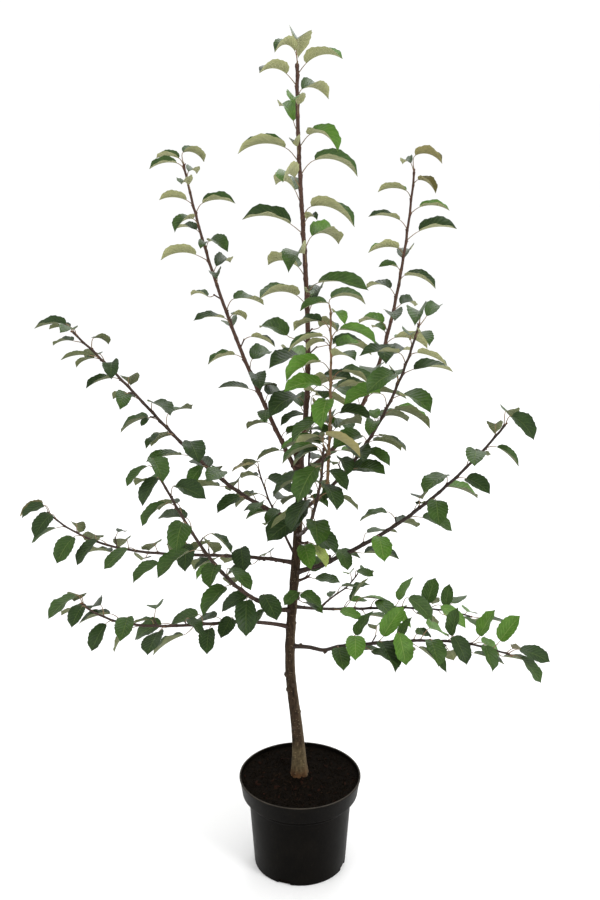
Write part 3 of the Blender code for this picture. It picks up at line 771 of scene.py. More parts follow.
# %% Growing a whole shoot
SEED = 2025
SEED_STEP = 31
FIRST_LEAF = 0.004
GAP_PLAY = 0.25
TURN = 144.0
TURN_PLAY = 26.0
FOOT_LEAF_SHARE = 0.74
FOOT_STRETCH = 0.12
YOUNG_LEAF_SHARE = 0.80
YOUNG_STRETCH = 0.28
END_LEAF_SPREADS = (10.0, 34.0)
END_LEAF_INSET = 0.003
END_LEAF_STEP = 0.004
END_LEAF_TURN = 137.5
END_LEAF_LOSS = 0.15
SPUR_CHANCE = 0.13
SPUR_LAST_SHARE = 0.7
SPUR_LENGTH = 0.020
SPUR_PLAY = 0.2
SPUR_RADIUS = 0.0016
SPUR_AHEAD = 0.5
SPUR_OUT = 0.8
SPUR_UP = 0.2
SPUR_LEAVES = 3
SPUR_LEAF_SHARE = 0.8
SPUR_LEAF_SPREAD = 48.0
SPUR_LEAF_INSET = 1.5
SPUR_BUD = 0.5


def size_share(share):
    """Leaves are smaller at the foot of a shoot and young and small at its tip."""
    foot = FOOT_LEAF_SHARE + (1.0 - FOOT_LEAF_SHARE) * min(1.0, share / FOOT_STRETCH)
    youth = max(0.0, (share + YOUNG_STRETCH - 1.0) / YOUNG_STRETCH)
    return foot * (1.0 - (1.0 - YOUNG_LEAF_SHARE) * youth)


def grow_mass(index, route, crown):
    """Leaves and spurs of one mass, by a seeded rule along its stem."""
    dice = random.Random(SEED + SEED_STEP * index)
    limb = route.limb
    leaves = []
    spurs = []
    turn = dice.uniform(0.0, 2.0 * math.pi)
    distance = limb.bare + FIRST_LEAF
    while distance < route.length - limb.gap * GAP_PLAY:
        share = (distance - limb.bare) / (route.length - limb.bare)
        root = route.at(distance)
        along = route.along(distance)
        size = limb.leaf * size_share(share)
        if dice.random() < SPUR_CHANCE and share < SPUR_LAST_SHARE and limb.node:
            spur, its_leaves = grow_spur(dice, crown, route, root, along, turn, size)
            spurs.extend(spur)
            leaves.extend(its_leaves)
        else:
            spread = STALK_SPREAD + stray(dice, SPREAD_PLAY)
            leaves.extend(try_leaf(dice, crown, route, root, along, turn, size, spread))
        turn += math.radians(TURN + stray(dice, TURN_PLAY))
        distance += limb.gap * (1.0 + stray(dice, GAP_PLAY))
    for place, spread in enumerate(END_LEAF_SPREADS):
        root = route.at(route.length - END_LEAF_INSET - END_LEAF_STEP * place)
        along = route.along(route.length)
        size = limb.leaf * (1.0 - END_LEAF_LOSS * place)
        its_turn = turn + math.radians(END_LEAF_TURN) * place
        leaves.extend(try_leaf(dice, crown, route, root, along, its_turn, size, spread))
    return leaves, spurs


def grow_spur(dice, crown, route, root, along, turn, size):
    """A short woody twig with a rosette of smaller leaves at its end."""
    line = along * SPUR_AHEAD + spoke_of(route, along, turn) * SPUR_OUT + UP * SPUR_UP
    line.normalize()
    end = root + line * SPUR_LENGTH * (1.0 + stray(dice, SPUR_PLAY))
    across = line.orthogonal().normalized()
    upward = across.cross(line)
    rings = [stalk_ring(place, across, upward, SPUR_RADIUS) for place in (root, end)]
    clear = [stalk_ring(place, across, upward, SPUR_RADIUS + CLEARANCE) for place in (root, end)]
    if not crown.takes(route.limb.leaves, clear, end + line * SPUR_RADIUS):
        return [], []
    leaves = []
    base = end - line * (SPUR_LEAF_INSET * SPUR_RADIUS)
    size *= SPUR_LEAF_SHARE
    for step in range(SPUR_LEAVES):
        angle = turn + 2.0 * math.pi * step / SPUR_LEAVES
        leaves.extend(try_leaf(dice, crown, route, base, line, angle, size, SPUR_LEAF_SPREAD))
    if not leaves:
        return [], []
    bud = end + line * (SPUR_BUD * SPUR_RADIUS)
    crown.add_leaf(rings, bud)
    return [(rings, bud)], leaves


print("leaves: %d degrees apart on the spiral" % TURN)

# %% [markdown]
# The whole crown grows once by the source's rule.  Then a finer round fills in.  On the
# two lowest shoots on the right some leaves stand up behind the shoot and face forward.
# On every shoot, smaller leaves and short twigs come in the gaps between the first ones.
# They all keep clear of everything and stay inside the reach of their neighbours, so the
# crown gets denser without getting wider.

# %% Grow the crown, then its finer twigs and leaves
FINE_SEED = 611
FINE_SIZE = 0.60
FINE_SIZE_PLAY = 0.20
FINE_GAPS = {"open": 8.0, "dense": 5.5}
FINE_LAST_SHARE = 0.88
FINE_TWIG_CHANCE = 0.22
STANDING_SEED = 402
STANDING_SIZE = 0.86
STANDING_GAP = 2.4
STANDING_LAST_SHARE = 0.93
STANDING_LIFT = 70.0
STANDING_DROOP = 30.0
STANDING_TURN = 1.2
STANDING_SHOOTS = ("leaves_right_low", "leaves_right_slender")
# the shoots that stand thick together in the middle of the crown
DENSE_SHOOTS = (
    "leaves_leader", "leaves_right_high", "leaves_right_middle", "leaves_upright_shoot",
    "leaves_front_shoot", "leaves_back_shoot", "leaves_back_left_shoot", "leaves_left_high",
)


def start_crown():
    """The limbs as obstacles, before any leaf has grown."""
    crown = Crown()
    crown.add_limb("trunk", *trunk_route())
    for route in ROUTES.values():
        limb = route.limb
        if limb.node:
            crown.add_limb(limb.node, *route.stretch(0.0, limb.bare))
            crown.add_limb(limb.leaves, *route.stretch(limb.bare, route.length))
        else:
            crown.add_limb(limb.leaves, *route.stretch(0.0, route.length))
    return crown


def grow_fine(index, route, crown):
    """Smaller leaves and twigs where a shoot still has room for them."""
    dice = random.Random(FINE_SEED + SEED_STEP * index)
    limb = route.limb
    leaves = []
    spurs = []
    gap = limb.gap * FINE_GAPS["dense" if limb.leaves in DENSE_SHOOTS else "open"]
    distance = limb.bare + gap
    while distance < route.length * FINE_LAST_SHARE:
        size = limb.leaf * FINE_SIZE * (1.0 + stray(dice, FINE_SIZE_PLAY))
        spread = STALK_SPREAD + stray(dice, SPREAD_PLAY)
        turn = dice.uniform(0.0, 2.0 * math.pi)
        root = route.at(distance)
        along = route.along(distance)
        if dice.random() < FINE_TWIG_CHANCE:
            spur, its_leaves = grow_spur(dice, crown, route, root, along, turn, size)
            spurs.extend(spur)
            leaves.extend(its_leaves)
        else:
            leaves.extend(try_leaf(dice, crown, route, root, along, turn, size, spread))
        distance += gap * (1.0 + stray(dice, GAP_PLAY))
    return leaves, spurs


def grow_standing(index, route, crown):
    """Leaves that stand up behind a level shoot and turn their faces forward."""
    if route.limb.leaves not in STANDING_SHOOTS:
        return []
    dice = random.Random(STANDING_SEED + SEED_STEP * index)
    limb = route.limb._replace(lift=STANDING_LIFT, droop=STANDING_DROOP)
    upright = Route(limb, route.points[0])
    leaves = []
    gap = limb.gap * STANDING_GAP
    distance = limb.bare + gap / 2.0
    while distance < route.length * STANDING_LAST_SHARE:
        size = limb.leaf * STANDING_SIZE * (1.0 + stray(dice, FINE_SIZE_PLAY))
        spread = STALK_SPREAD + stray(dice, SPREAD_PLAY)
        turn = dice.uniform(0.0, STANDING_TURN)
        root = route.at(distance)
        leaves.extend(try_leaf(dice, crown, upright, root, route.along(distance), turn, size, spread))
        distance += gap * (1.0 + stray(dice, GAP_PLAY))
    return leaves


def grow_crown():
    """Three rounds over all shoots; each round sees what the rounds before it have grown."""
    crown = start_crown()
    routes = list(enumerate(ROUTES.values()))
    grown = [grow_mass(index, route, crown) for index, route in routes]
    standing = [grow_standing(index, route, crown) for index, route in routes]
    fine = [grow_fine(index, route, crown) for index, route in routes]
    fine = [(leaves + upright, spurs) for (leaves, spurs), upright in zip(fine, standing)]
    return dict(zip(ROUTES, grown)), dict(zip(ROUTES, fine))


GROWN, FINE = grow_crown()
print("leaves of the solids:", sum(len(leaves) for leaves, _ in GROWN.values()))
print("finer leaves between them:", sum(len(leaves) for leaves, _ in FINE.values()))

# %% [markdown]
# Four effects come back in more than one material, so each is a shader node group, built
# once and then placed with its own values: a fine grain that breaks up a flat colour, the
# pale breathing pores of young bark, the veins of a leaf, and dust that settles on what
# faces up.  A group gives out masks and heights only.  The shader itself stays in the
# material.

# %% Effect groups for several materials
def group_node(graph, group, **inputs):
    """Places a shader group in a material and returns its outputs."""
    made = graph.tree.nodes.new("ShaderNodeGroup")
    made.node_tree = group
    for name, value in inputs.items():
        graph.feed(made.inputs[name], value)
    return made.outputs


def build_grain_group():
    """Fine unevenness: Mask for colours, Height for bumps."""
    group, g, given, result = new_group(
        "fine_grain", "ShaderNodeTree",
        [("Vector", "Vector"), ("Size", "Float", 60.0), ("Stretch", "Float", 1.0),
         ("Contrast", "Float", 1.0)],
        [("Mask", "Float"), ("Height", "Float")],
    )
    shrink = g.combined(1.0, 1.0, g.math("DIVIDE", 1.0, given["Stretch"]))
    squeezed = g.vector("MULTIPLY", given["Vector"], shrink)
    broad = g.noise(squeezed, given["Size"], 4.0, 0.6)
    fine = g.noise(squeezed, g.times(given["Size"], 5.0), 2.0, 0.6)
    mixed = g.add(g.times(broad, 0.7), g.times(fine, 0.3))
    sharp = g.math("MULTIPLY_ADD", g.subtract(mixed, 0.5), g.times(given["Contrast"], 2.5), 0.5)
    g.feed(result["Mask"], g.clamp(sharp))
    g.feed(result["Height"], mixed)
    return group


def build_lenticel_group():
    """The small pale pores that dot young bark, a little wider than they are tall."""
    group, g, given, result = new_group(
        "bark_pores", "ShaderNodeTree",
        [("Vector", "Vector"), ("Spacing", "Float", 0.006), ("Size", "Float", 0.16),
         ("Flatness", "Float", 1.7)],
        [("Mask", "Float")],
    )
    cells = g.math("DIVIDE", 1.0, given["Spacing"])
    flat = g.vector("MULTIPLY", given["Vector"], g.combined(1.0, 1.0, given["Flatness"]))
    points = {"Vector": g.scaled(flat, cells), "Scale": 1.0, "Randomness": 0.9}
    distance = g.node("ShaderNodeTexVoronoi", points, "Distance", feature="F1")
    edge = g.math("DIVIDE", distance, given["Size"])
    g.feed(result["Mask"], g.between(edge, 1.0, 0.6))
    return group


def build_vein_group():
    """Midrib and side veins on a blade whose map runs 0 to 1 along it and across it."""
    group, g, given, result = new_group(
        "leaf_veins", "ShaderNodeTree",
        [("Vector", "Vector"), ("Veins", "Float", 8.0), ("Slant", "Float", 0.62),
         ("Width", "Float", 0.11)],
        [("Mask", "Float"), ("Height", "Float")],
    )
    along = g.part(given["Vector"], "X")
    across = g.math("ABSOLUTE", g.subtract(g.part(given["Vector"], "Y"), 0.5))
    midrib = g.between(across, 0.030, 0.012)
    slanted = g.subtract(along, g.times(across, given["Slant"]))
    wave = g.math("PINGPONG", g.times(slanted, given["Veins"]), 0.5)
    side = g.between(wave, given["Width"], g.times(given["Width"], 0.35))
    fading = g.between(across, 0.48, 0.30)
    veins = g.math("MAXIMUM", midrib, g.times(g.times(side, fading), 0.6))
    g.feed(result["Mask"], veins)
    g.feed(result["Height"], g.subtract(g.times(wave, 1.2), veins))
    return group


def build_dust_group():
    """Dust and dried splashes: mostly on what faces up, in soft patches."""
    group, g, given, result = new_group(
        "settled_dust", "ShaderNodeTree",
        [("Vector", "Vector"), ("Size", "Float", 18.0), ("Amount", "Float", 0.4)],
        [("Mask", "Float")],
    )
    facing = g.part(g.node("ShaderNodeNewGeometry", output="Normal"), "Z")
    level = g.between(facing, -0.1, 0.9)
    patches = g.between(g.noise(given["Vector"], given["Size"], 5.0, 0.65), 0.45, 0.75)
    specks = g.between(g.noise(given["Vector"], g.times(given["Size"], 14.0), 2.0), 0.60, 0.72)
    dust = g.add(g.times(patches, g.add(0.25, level)), g.times(specks, 0.35))
    g.feed(result["Mask"], g.clamp(g.times(dust, given["Amount"])))
    return group


GRAIN = build_grain_group()
PORES = build_lenticel_group()
VEINS = build_vein_group()
DUST = build_dust_group()
print("effect groups:", GRAIN.name, PORES.name, VEINS.name, DUST.name)

# %% [markdown]
# Most small things on the plant need no more than two plain tones broken up by the grain,
# so one function makes all such materials.  A number that is the same all over goes on
# the shader's own socket.

# %% Materials of two tones
def bump(graph, shader, height, distance, strength=1.0):
    inputs = {"Height": height, "Distance": distance, "Strength": strength}
    graph.feed(shader.inputs["Normal"], graph.node("ShaderNodeBump", inputs))


def object_place(graph):
    return graph.node("ShaderNodeTexCoord", output="Object")


def two_tones(name, dark, light, size, contrast, roughness, specular, depth=0.0):
    """A material of two tones in grains of a size, which can stand out by a depth."""
    made, g, shader = new_material(name, roughness, Specular_IOR_Level=specular)
    grain = group_node(g, GRAIN, Vector=object_place(g), Size=size, Contrast=contrast)
    g.feed(shader.inputs["Base Color"], g.blend(grain["Mask"], rgb(*dark), rgb(*light)))
    if depth:
        bump(g, shader, grain["Height"], depth)
    return made


CUT_WOOD = two_tones("cut_wood", (34, 27, 21), (74, 60, 46), 420.0, 1.2, 0.85, 0.2, 0.0006)
BUD_SKIN = two_tones("bud_scales", (52, 34, 26), (122, 86, 62), 500.0, 1.4, 0.6, 0.3, 0.0004)
STALK_SKIN = two_tones("leaf_stalk", (104, 100, 56), (134, 92, 74), 120.0, 1.0, 0.5, 0.4)
# contrast, roughness, shine and depth that everything in the pot's compost shares
SOIL_LOOK = (1.3, 0.95, 0.04, 0.0012)
COMPOST = two_tones("compost", (6, 5, 4), (20, 15, 10), 130.0, *SOIL_LOOK)
CRUMB = two_tones("compost_crumb", (7, 6, 4), (26, 20, 14), 200.0, *SOIL_LOOK)
CHIP_RED = two_tones("bark_bit_red", (18, 10, 7), (40, 23, 16), 240.0, *SOIL_LOOK)
CHIP_DARK = two_tones("bark_bit_dark", (14, 10, 7), (40, 29, 20), 240.0, *SOIL_LOOK)
print("two tones:", CUT_WOOD.name, BUD_SKIN.name, STALK_SKIN.name, COMPOST.name, CRUMB.name)

# %% [markdown]
# One geometry tree skins every woody line.  It turns the bare line into a curve, sweeps a
# circle along it and pushes the surface in and out by noise.  It also keeps, for each
# point, where it lies around and along the limb.  The bark shader reads that, so its
# pattern runs along the limb without a seam.

# %% Geometry tree: bark on a line
RIDGE_STRETCH = 0.4
LOBE_SIZE = 1.3
LOBE_LEVEL = 0.45
LOBE_FADE = 34.0


def named(graph, label, kind="FLOAT"):
    """Reads an attribute by its name."""
    return graph.node("GeometryNodeInputNamedAttribute", {"Name": label}, "Attribute", data_type=kind)


def build_skin_group():
    group, g, given, result = new_group(
        "bark_on_a_line", "GeometryNodeTree",
        [("Line", "Geometry"), ("Sides", "Int", 10), ("Girth", "Float", 0.005),
         ("Relief", "Float", 0.0), ("Ridges", "Float", 160.0), ("Root Lobes", "Float", 0.0),
         ("Seed", "Float", 0.0), ("Bark", "Material")],
        [("Skin", "Geometry")],
    )
    curve = g.node("GeometryNodeMeshToCurve", {"Mesh": given["Line"]})
    circle = g.node("GeometryNodeCurvePrimitiveCircle", {"Resolution": given["Sides"], "Radius": 1.0})
    inputs = {"Geometry": circle, "Name": "round", "Value": g.node("GeometryNodeInputPosition")}
    circle = g.node("GeometryNodeStoreNamedAttribute", inputs, data_type="FLOAT_VECTOR")
    inputs = {
        "Curve": curve, "Profile Curve": circle,
        "Scale": named(g, "thickness"), "Fill Caps": True,
    }
    skin = g.node("GeometryNodeCurveToMesh", inputs)
    around = g.scaled(named(g, "round", "FLOAT_VECTOR"), given["Girth"])
    along = named(g, "along")
    place = g.vector("ADD", around, g.combined(0.0, 0.0, along))
    inputs = {"Geometry": skin, "Name": "bark", "Value": place}
    skin = g.node("GeometryNodeStoreNamedAttribute", inputs, data_type="FLOAT_VECTOR")

    shifted = g.vector("ADD", named(g, "bark", "FLOAT_VECTOR"), g.combined(given["Seed"], 0.0, 0.0))
    stretched = g.vector("MULTIPLY", shifted, (1.0, 1.0, RIDGE_STRETCH))
    ridges = g.noise(stretched, given["Ridges"], 4.0, 0.6)
    relief = g.times(g.subtract(ridges, 0.5), given["Relief"])
    lobes = g.noise(g.scaled(named(g, "round", "FLOAT_VECTOR"), LOBE_SIZE), 1.0, 1.0)
    near_soil = g.math("EXPONENT", g.times(along, -LOBE_FADE))
    flare = g.times(g.times(g.subtract(lobes, LOBE_LEVEL), near_soil), given["Root Lobes"])
    push = g.scaled(g.node("GeometryNodeInputNormal"), g.add(relief, flare))
    skin = g.node("GeometryNodeSetPosition", {"Geometry": skin, "Offset": push})
    skin = g.node("GeometryNodeSetShadeSmooth", {"Geometry": skin, "Shade Smooth": True})
    skin = g.node("GeometryNodeSetMaterial", {"Geometry": skin, "Material": given["Bark"]})
    g.feed(result["Skin"], skin)
    return group


SKIN = build_skin_group()
print("geometry tree:", SKIN.name)

# %% [markdown]
# Old bark on the trunk is grey-brown, rough and a little scaly, with an olive-grey skin on
# its lowest part and orange-brown at the very foot.  The shoots are smooth, purplish-brown
# and dotted with pale pores, some redder or darker than others, and one is tan.  The
# blends of colour on the trunk follow its height, so they lie where the real ones do.

# %% Bark materials
OLIVE_FADES = (0.262, 0.290)
FOOT_FADES = (0.230, 0.206)
# how far the trunk's surface turns to the right, towards the key lamp, where its bark is painted paler:
# painted light
PAINTED_LIT_SIDE = (0.45, 0.98)


def build_trunk_bark():
    made, g, shader = new_material("old_bark", 0.85, Specular_IOR_Level=0.10)
    bark = g.node("ShaderNodeAttribute", output="Vector", attribute_name="bark")
    grain = group_node(g, GRAIN, Vector=bark, Size=210.0, Stretch=2.6, Contrast=1.3)
    pores = group_node(g, PORES, Vector=bark, Spacing=0.0075, Size=0.2, Flatness=1.8)["Mask"]
    upper = g.blend(grain["Mask"], rgb(24, 19, 13), rgb(64, 50, 37))
    lower = g.blend(grain["Mask"], rgb(54, 46, 32), rgb(98, 85, 61))
    foot = g.blend(grain["Mask"], rgb(42, 29, 18), rgb(98, 69, 44))
    uneven = g.times(g.subtract(g.noise(bark, 45.0, 3.0), 0.5), 0.05)
    height = g.add(g.part(object_place(g), "Z"), uneven)
    shown = g.blend(g.between(height, *OLIVE_FADES), lower, upper)
    shown = g.blend(g.between(height, *FOOT_FADES), shown, foot)
    # the side of the trunk that faces right, towards the key lamp, is blended to a paler tone: painted
    # light
    facing = g.part(g.node("ShaderNodeNewGeometry", output="Normal"), "X")
    shown = g.blend(g.times(g.between(facing, *PAINTED_LIT_SIDE), 0.35), shown, rgb(122, 106, 84))
    shown = g.blend(g.times(pores, 0.5), shown, rgb(150, 134, 106))
    g.feed(shader.inputs["Base Color"], shown)
    bump(g, shader, g.add(grain["Height"], g.times(pores, 0.3)), 0.0011)
    return made


def build_shoot_bark(name, *tones):
    dark, light, pore = [rgb(*tone) for tone in tones]
    made, g, shader = new_material(name, 0.52, Specular_IOR_Level=0.22)
    bark = g.node("ShaderNodeAttribute", output="Vector", attribute_name="bark")
    grain = group_node(g, GRAIN, Vector=bark, Size=260.0, Stretch=3.5, Contrast=0.9)
    pores = group_node(g, PORES, Vector=bark, Spacing=0.0048, Size=0.17, Flatness=1.6)["Mask"]
    shown = g.blend(grain["Mask"], dark, light)
    shown = g.blend(g.times(pores, 0.75), shown, pore)
    g.feed(shader.inputs["Base Color"], shown)
    bump(g, shader, g.add(g.times(grain["Height"], 0.6), g.times(pores, 0.5)), 0.0005)
    return made


TRUNK_BARK = build_trunk_bark()
SHOOT_BARK = {
    "plain": build_shoot_bark("shoot_bark_brown", (34, 24, 20), (70, 50, 40), (140, 122, 98)),
    "red": build_shoot_bark("shoot_bark_red", (44, 28, 22), (88, 60, 47), (156, 134, 110)),
    "dark": build_shoot_bark("shoot_bark_dark", (28, 22, 19), (58, 44, 36), (128, 112, 92)),
    "tan": build_shoot_bark("shoot_bark_tan", (74, 53, 37), (144, 112, 78), (182, 160, 126)),
}
# shoots whose bark isn't the plain brown
BARK_OF_SHOOT = {
    "leaves_leader": "red", "leaves_left_high": "red", "leaves_right_high": "red",
    "leaves_upright_shoot": "tan", "leaves_right_rising": "dark", "leaves_right_low": "dark",
    "leaves_right_slender": "dark",
}
print("bark:", TRUNK_BARK.name, *[bark.name for bark in SHOOT_BARK.values()])

# %% [markdown]
# Buds, knobs and stubs are each turned once, at unit size, and then dealt out: a second
# geometry tree puts a copy on every point it is given, turned to the point's aim and
# scaled to its size.

# %% Small parts, and the tree that deals them out
def build_deal_group():
    """Copies of one small part on points, each turned to its aim and scaled."""
    group, g, given, result = new_group(
        "parts_on_points", "GeometryNodeTree",
        [("Points", "Geometry"), ("Part", "Object"), ("Finish", "Material")],
        [("Parts", "Geometry")],
    )
    part = g.node("GeometryNodeObjectInfo", {"Object": given["Part"]}, "Geometry")
    inputs = {"Vector": named(g, "aim", "FLOAT_VECTOR")}
    rotation = g.node("FunctionNodeAlignRotationToVector", inputs, axis="Z")
    inputs = {
        "Points": given["Points"], "Instance": part,
        "Rotation": rotation, "Scale": named(g, "size", "FLOAT_VECTOR"),
    }
    parts = g.node("GeometryNodeInstanceOnPoints", inputs)
    parts = g.node("GeometryNodeRealizeInstances", {"Geometry": parts})
    parts = g.node("GeometryNodeSetMaterial", {"Geometry": parts, "Material": given["Finish"]})
    g.feed(result["Parts"], parts)
    return group


def small_part(name, rings, sides):
    """A closed turned part: rings of radius and height, from its foot to its point."""
    shape = bmesh.new()
    angles = [2.0 * math.pi * i / sides for i in range(sides)]
    rows = []
    for radius, height in rings:
        ring = [(radius * math.cos(a), radius * math.sin(a), height) for a in angles]
        rows.append([shape.verts.new(place) for place in (ring if radius else ring[:1])])
    for lower, upper in zip(rows, rows[1:]):
        for i in range(sides):
            j = (i + 1) % sides
            corners = [lower[i % len(lower)], lower[j % len(lower)]]
            corners += [upper[j % len(upper)], upper[i % len(upper)]]
            shape.faces.new(list(dict.fromkeys(corners)))
    bmesh.ops.recalc_face_normals(shape, faces=shape.faces)
    for face in shape.faces:
        face.smooth = True
    return add_shape(name, shape)


def deal(name, part, finish, places, aims, sizes):
    """Copies of a small part at places, as one object."""
    item = add_points(name, places, [], aim=aims, size=sizes)
    return run_nodes(item, DEAL, {"Part": part, "Finish": finish})


def join(name, items):
    """Several objects made into one, with all their materials and attributes."""
    first = items[0]
    with bpy.context.temp_override(active_object=first, object=first, selected_editable_objects=items):
        bpy.ops.object.join()
    first.name = name
    first.data.name = name
    return first


DEAL = build_deal_group()
LUMP = small_part("lump", ((0.0, -0.6), (0.9, -0.3), (1.0, 0.1), (0.7, 0.6), (0.35, 0.9), (0.0, 1.0)), 10)
PEG = small_part("peg", ((0.0, -0.2), (1.0, -0.1), (1.0, 0.6), (1.08, 0.9), (0.95, 1.0), (0.0, 0.97)), 10)
BUD = small_part("bud", ((0.0, -0.2), (0.7, 0.0), (1.0, 0.35), (0.75, 0.7), (0.3, 0.92), (0.0, 1.0)), 7)
print("small parts:", LUMP.name, PEG.name, BUD.name)

# %% [markdown]
# The trunk swells a little where a bough leaves it, and every limb is thicker in its
# collar.  A shoot also swells at each leaf and bends a touch towards it, which gives the
# slight zigzag of apple wood.  All this is in the line and its radii, before any skin.

# %% Lines for the bark to follow
TRUNK_STEP = 0.0035
TRUNK_SWELL = 0.0011
TRUNK_SWELL_SPREAD = 0.011
COLLAR = 0.75
COLLAR_LENGTH = 0.011
LIMB_STEP = 0.0035
NODE_SWELL = 0.20
NODE_SPREAD = 0.0032
NODE_BEND = 0.0007
NODE_BEND_SPREAD = 0.0075
ROOT_REACH = 0.003
TIP_ROUNDING = 0.0025
TIP_BLUNT = 0.0003
# a bough, the distance along it, how far it dips there and over what length
DIPS = {
    "leaves_right_low": (0.080, 0.0075, 0.024), "leaves_left_low": (0.105, -0.0030, 0.020),
    "leaves_left_rising": (0.040, 0.0035, 0.022), "leaves_right_rising": (0.070, 0.0030, 0.024),
}
# a spur's middle line: shares of its length and of its radius
SPUR_PROFILE = ((0.0, 1.0), (0.3, 0.85), (0.55, 0.95), (0.8, 0.9), (1.0, 1.1))
SPUR_TIP = 0.5


def bell(distance, spread):
    """One at nought, falling away smoothly to both sides."""
    return math.exp(-((distance / spread) ** 2))


def arc_points(start, bend, end, steps):
    """Points along a soft arc from start to end, drawn towards the bend."""
    points = []
    for step in range(steps + 1):
        t = step / steps
        u = 1.0 - t
        points.append(start * (u * u) + bend * (2.0 * u * t) + end * (t * t))
    return points


def line_object(name, lines):
    """Bare lines for the skin tree; each line is its points and their radii."""
    points = []
    edges = []
    thickness = []
    along = []
    for places, radii in lines:
        start = len(points)
        points.extend(places)
        edges.extend((start + i, start + i + 1) for i in range(len(places) - 1))
        thickness.extend(radii)
        mark = 0.0
        for i, place in enumerate(places):
            mark += (place - places[i - 1]).length if i else 0.0
            along.append(mark)
    return add_points(name, points, edges, thickness=thickness, along=along)


def trunk_skin_line():
    low = SOIL_TOP + GAP
    count = round((TRUNK_TOP - low) / TRUNK_STEP)
    heights = [low + (TRUNK_TOP - low) * i / count for i in range(count + 1)]
    feet = [limb.foot for limb in LIMBS if limb.grows_from == "trunk"]
    near = [sum(bell(height - foot, TRUNK_SWELL_SPREAD) for foot in feet) for height in heights]
    radii = [trunk_radius(height) + TRUNK_SWELL * min(1.0, swell) for height, swell in zip(heights, near)]
    return [trunk_point(height) for height in heights], radii


def nodes_of(route, leaves):
    """Where the leaves of a shoot sit: the distance along it, and the side each is on."""
    found = []
    for leaf in leaves:
        mark, gap = route.nearest(leaf.root)
        if gap < ROOT_REACH:
            side = leaf.stalk_end - leaf.root
            along = route.along(mark)
            found.append((mark, (side - along * side.dot(along)).normalized()))
    return found


def sagging(route, mark):
    """A limb's middle at a distance along it, with the dip out of its smooth line."""
    site, depth, spread = DIPS.get(route.limb.leaves, (0.0, 0.0, 1.0))
    return route.at(mark) - UP * (depth * bell(mark - site, spread))


def shoot_skin_line(route, sites):
    """The shoot's middle line and radii, with its collar, its nodes and a rounded tip."""
    count = round(route.length / LIMB_STEP)
    places = []
    radii = []
    for i in range(count + 1):
        mark = route.length * i / count
        place = sagging(route, mark)
        swell = COLLAR * math.exp(-mark / COLLAR_LENGTH)
        for site, side in sites:
            place = place + side * (NODE_BEND * bell(mark - site, NODE_BEND_SPREAD))
            swell += NODE_SWELL * bell(mark - site, NODE_SPREAD)
        rounding = math.sqrt(min(1.0, (route.length - mark + TIP_BLUNT) / TIP_ROUNDING))
        places.append(place)
        radii.append(route.radius(mark) * (1.0 + min(swell, 1.0)) * rounding)
    return places, radii


def spur_line(rings, bud):
    """A spur's twig as a line, from the rings of its solid."""
    foot, end = [sum(ring, Vector()) / len(ring) for ring in rings]
    places = [foot.lerp(end, share) for share, _ in SPUR_PROFILE]
    radii = [thick * SPUR_RADIUS for _, thick in SPUR_PROFILE]
    return [*places, bud], [*radii, SPUR_TIP * SPUR_RADIUS]


print("the trunk's line has", len(trunk_skin_line()[0]), "points")

# %% [markdown]
# Old bud bases and healed cuts stand out of the trunk and of each bough's bare foot as
# small knobs, and where a twig was cut off a stub is left.  The trunk's knobs and all the
# stubs have places of their own, most of them read off the photograph.  The knobs on the
# boughs are dealt by seeded draws.

# %% Knobs, stubs and the pruning cut
# height, turn about the trunk in degrees (-90 faces the camera), width and how far it stands out
KNOBS = (
    (0.444, 200, 0.0060, 0.0045), (0.409, 210, 0.0055, 0.0040), (0.423, -62, 0.0052, 0.0036),
    (0.3205, 235, 0.0050, 0.0034), (0.760, -70, 0.0040, 0.0020), (0.6005, -95, 0.0042, 0.0016),
    (0.560, 20, 0.0050, 0.0032), (0.842, 170, 0.0045, 0.0032), (0.352, 30, 0.0045, 0.0028),
    (0.655, 120, 0.0046, 0.0030), (0.492, 75, 0.0050, 0.0030), (0.285, 110, 0.0048, 0.0026),
)
# stubs of cut twigs: the distance along the bough, degrees about it, width and length
STUBS = {
    "leaves_right_low": (0.081, 250, 0.0042, 0.0070), "leaves_right_rising": (0.082, 95, 0.0032, 0.0150),
    "leaves_left_low": (0.104, 80, 0.0036, 0.0050), "leaves_left_middle": (0.030, 75, 0.0034, 0.0060),
    "leaves_right_high": (0.060, 100, 0.0032, 0.0060), "leaves_left_level": (0.042, 260, 0.0030, 0.0050),
}
KNOB_TALL = 1.2
KNOB_TILT = 0.12
KNOB_SUNK = 0.0008
KNOB_SEED = 53
KNOB_FIRST = 0.026
KNOB_LAST = 0.060
KNOB_GAPS = (0.028, 0.060)
KNOB_WIDTHS = (0.7, 1.0)
KNOB_HEIGHTS = (0.5, 0.9)
LIMB_KNOB_LEAN = 0.4
LIMB_KNOB_SUNK = 0.0006
STUB_LEAN_AHEAD = 0.7
CUT_SIDES = 20
# the cut's healing rim and flat face, in shares of the trunk's radius and in metres
CUT_RINGS = ((0.0, -0.002), (1.06, -0.002), (1.10, 0.0), (1.02, 0.0005), (0.86, 0.0001), (0.0, 0.0002))


def add_knobs():
    """Old bud bases and healed cuts on the trunk."""
    places = []
    aims = []
    sizes = []
    for height, turn, width, proud in KNOBS:
        angle = math.radians(turn)
        out = Vector((math.cos(angle), math.sin(angle), KNOB_TILT)).normalized()
        places.append(trunk_point(height) + out * (trunk_radius(height) - KNOB_SUNK))
        aims.append(out)
        sizes.append(Vector((width, width * KNOB_TALL, proud)))
    return deal("knobs", LUMP, CUT_WOOD, places, aims, sizes)


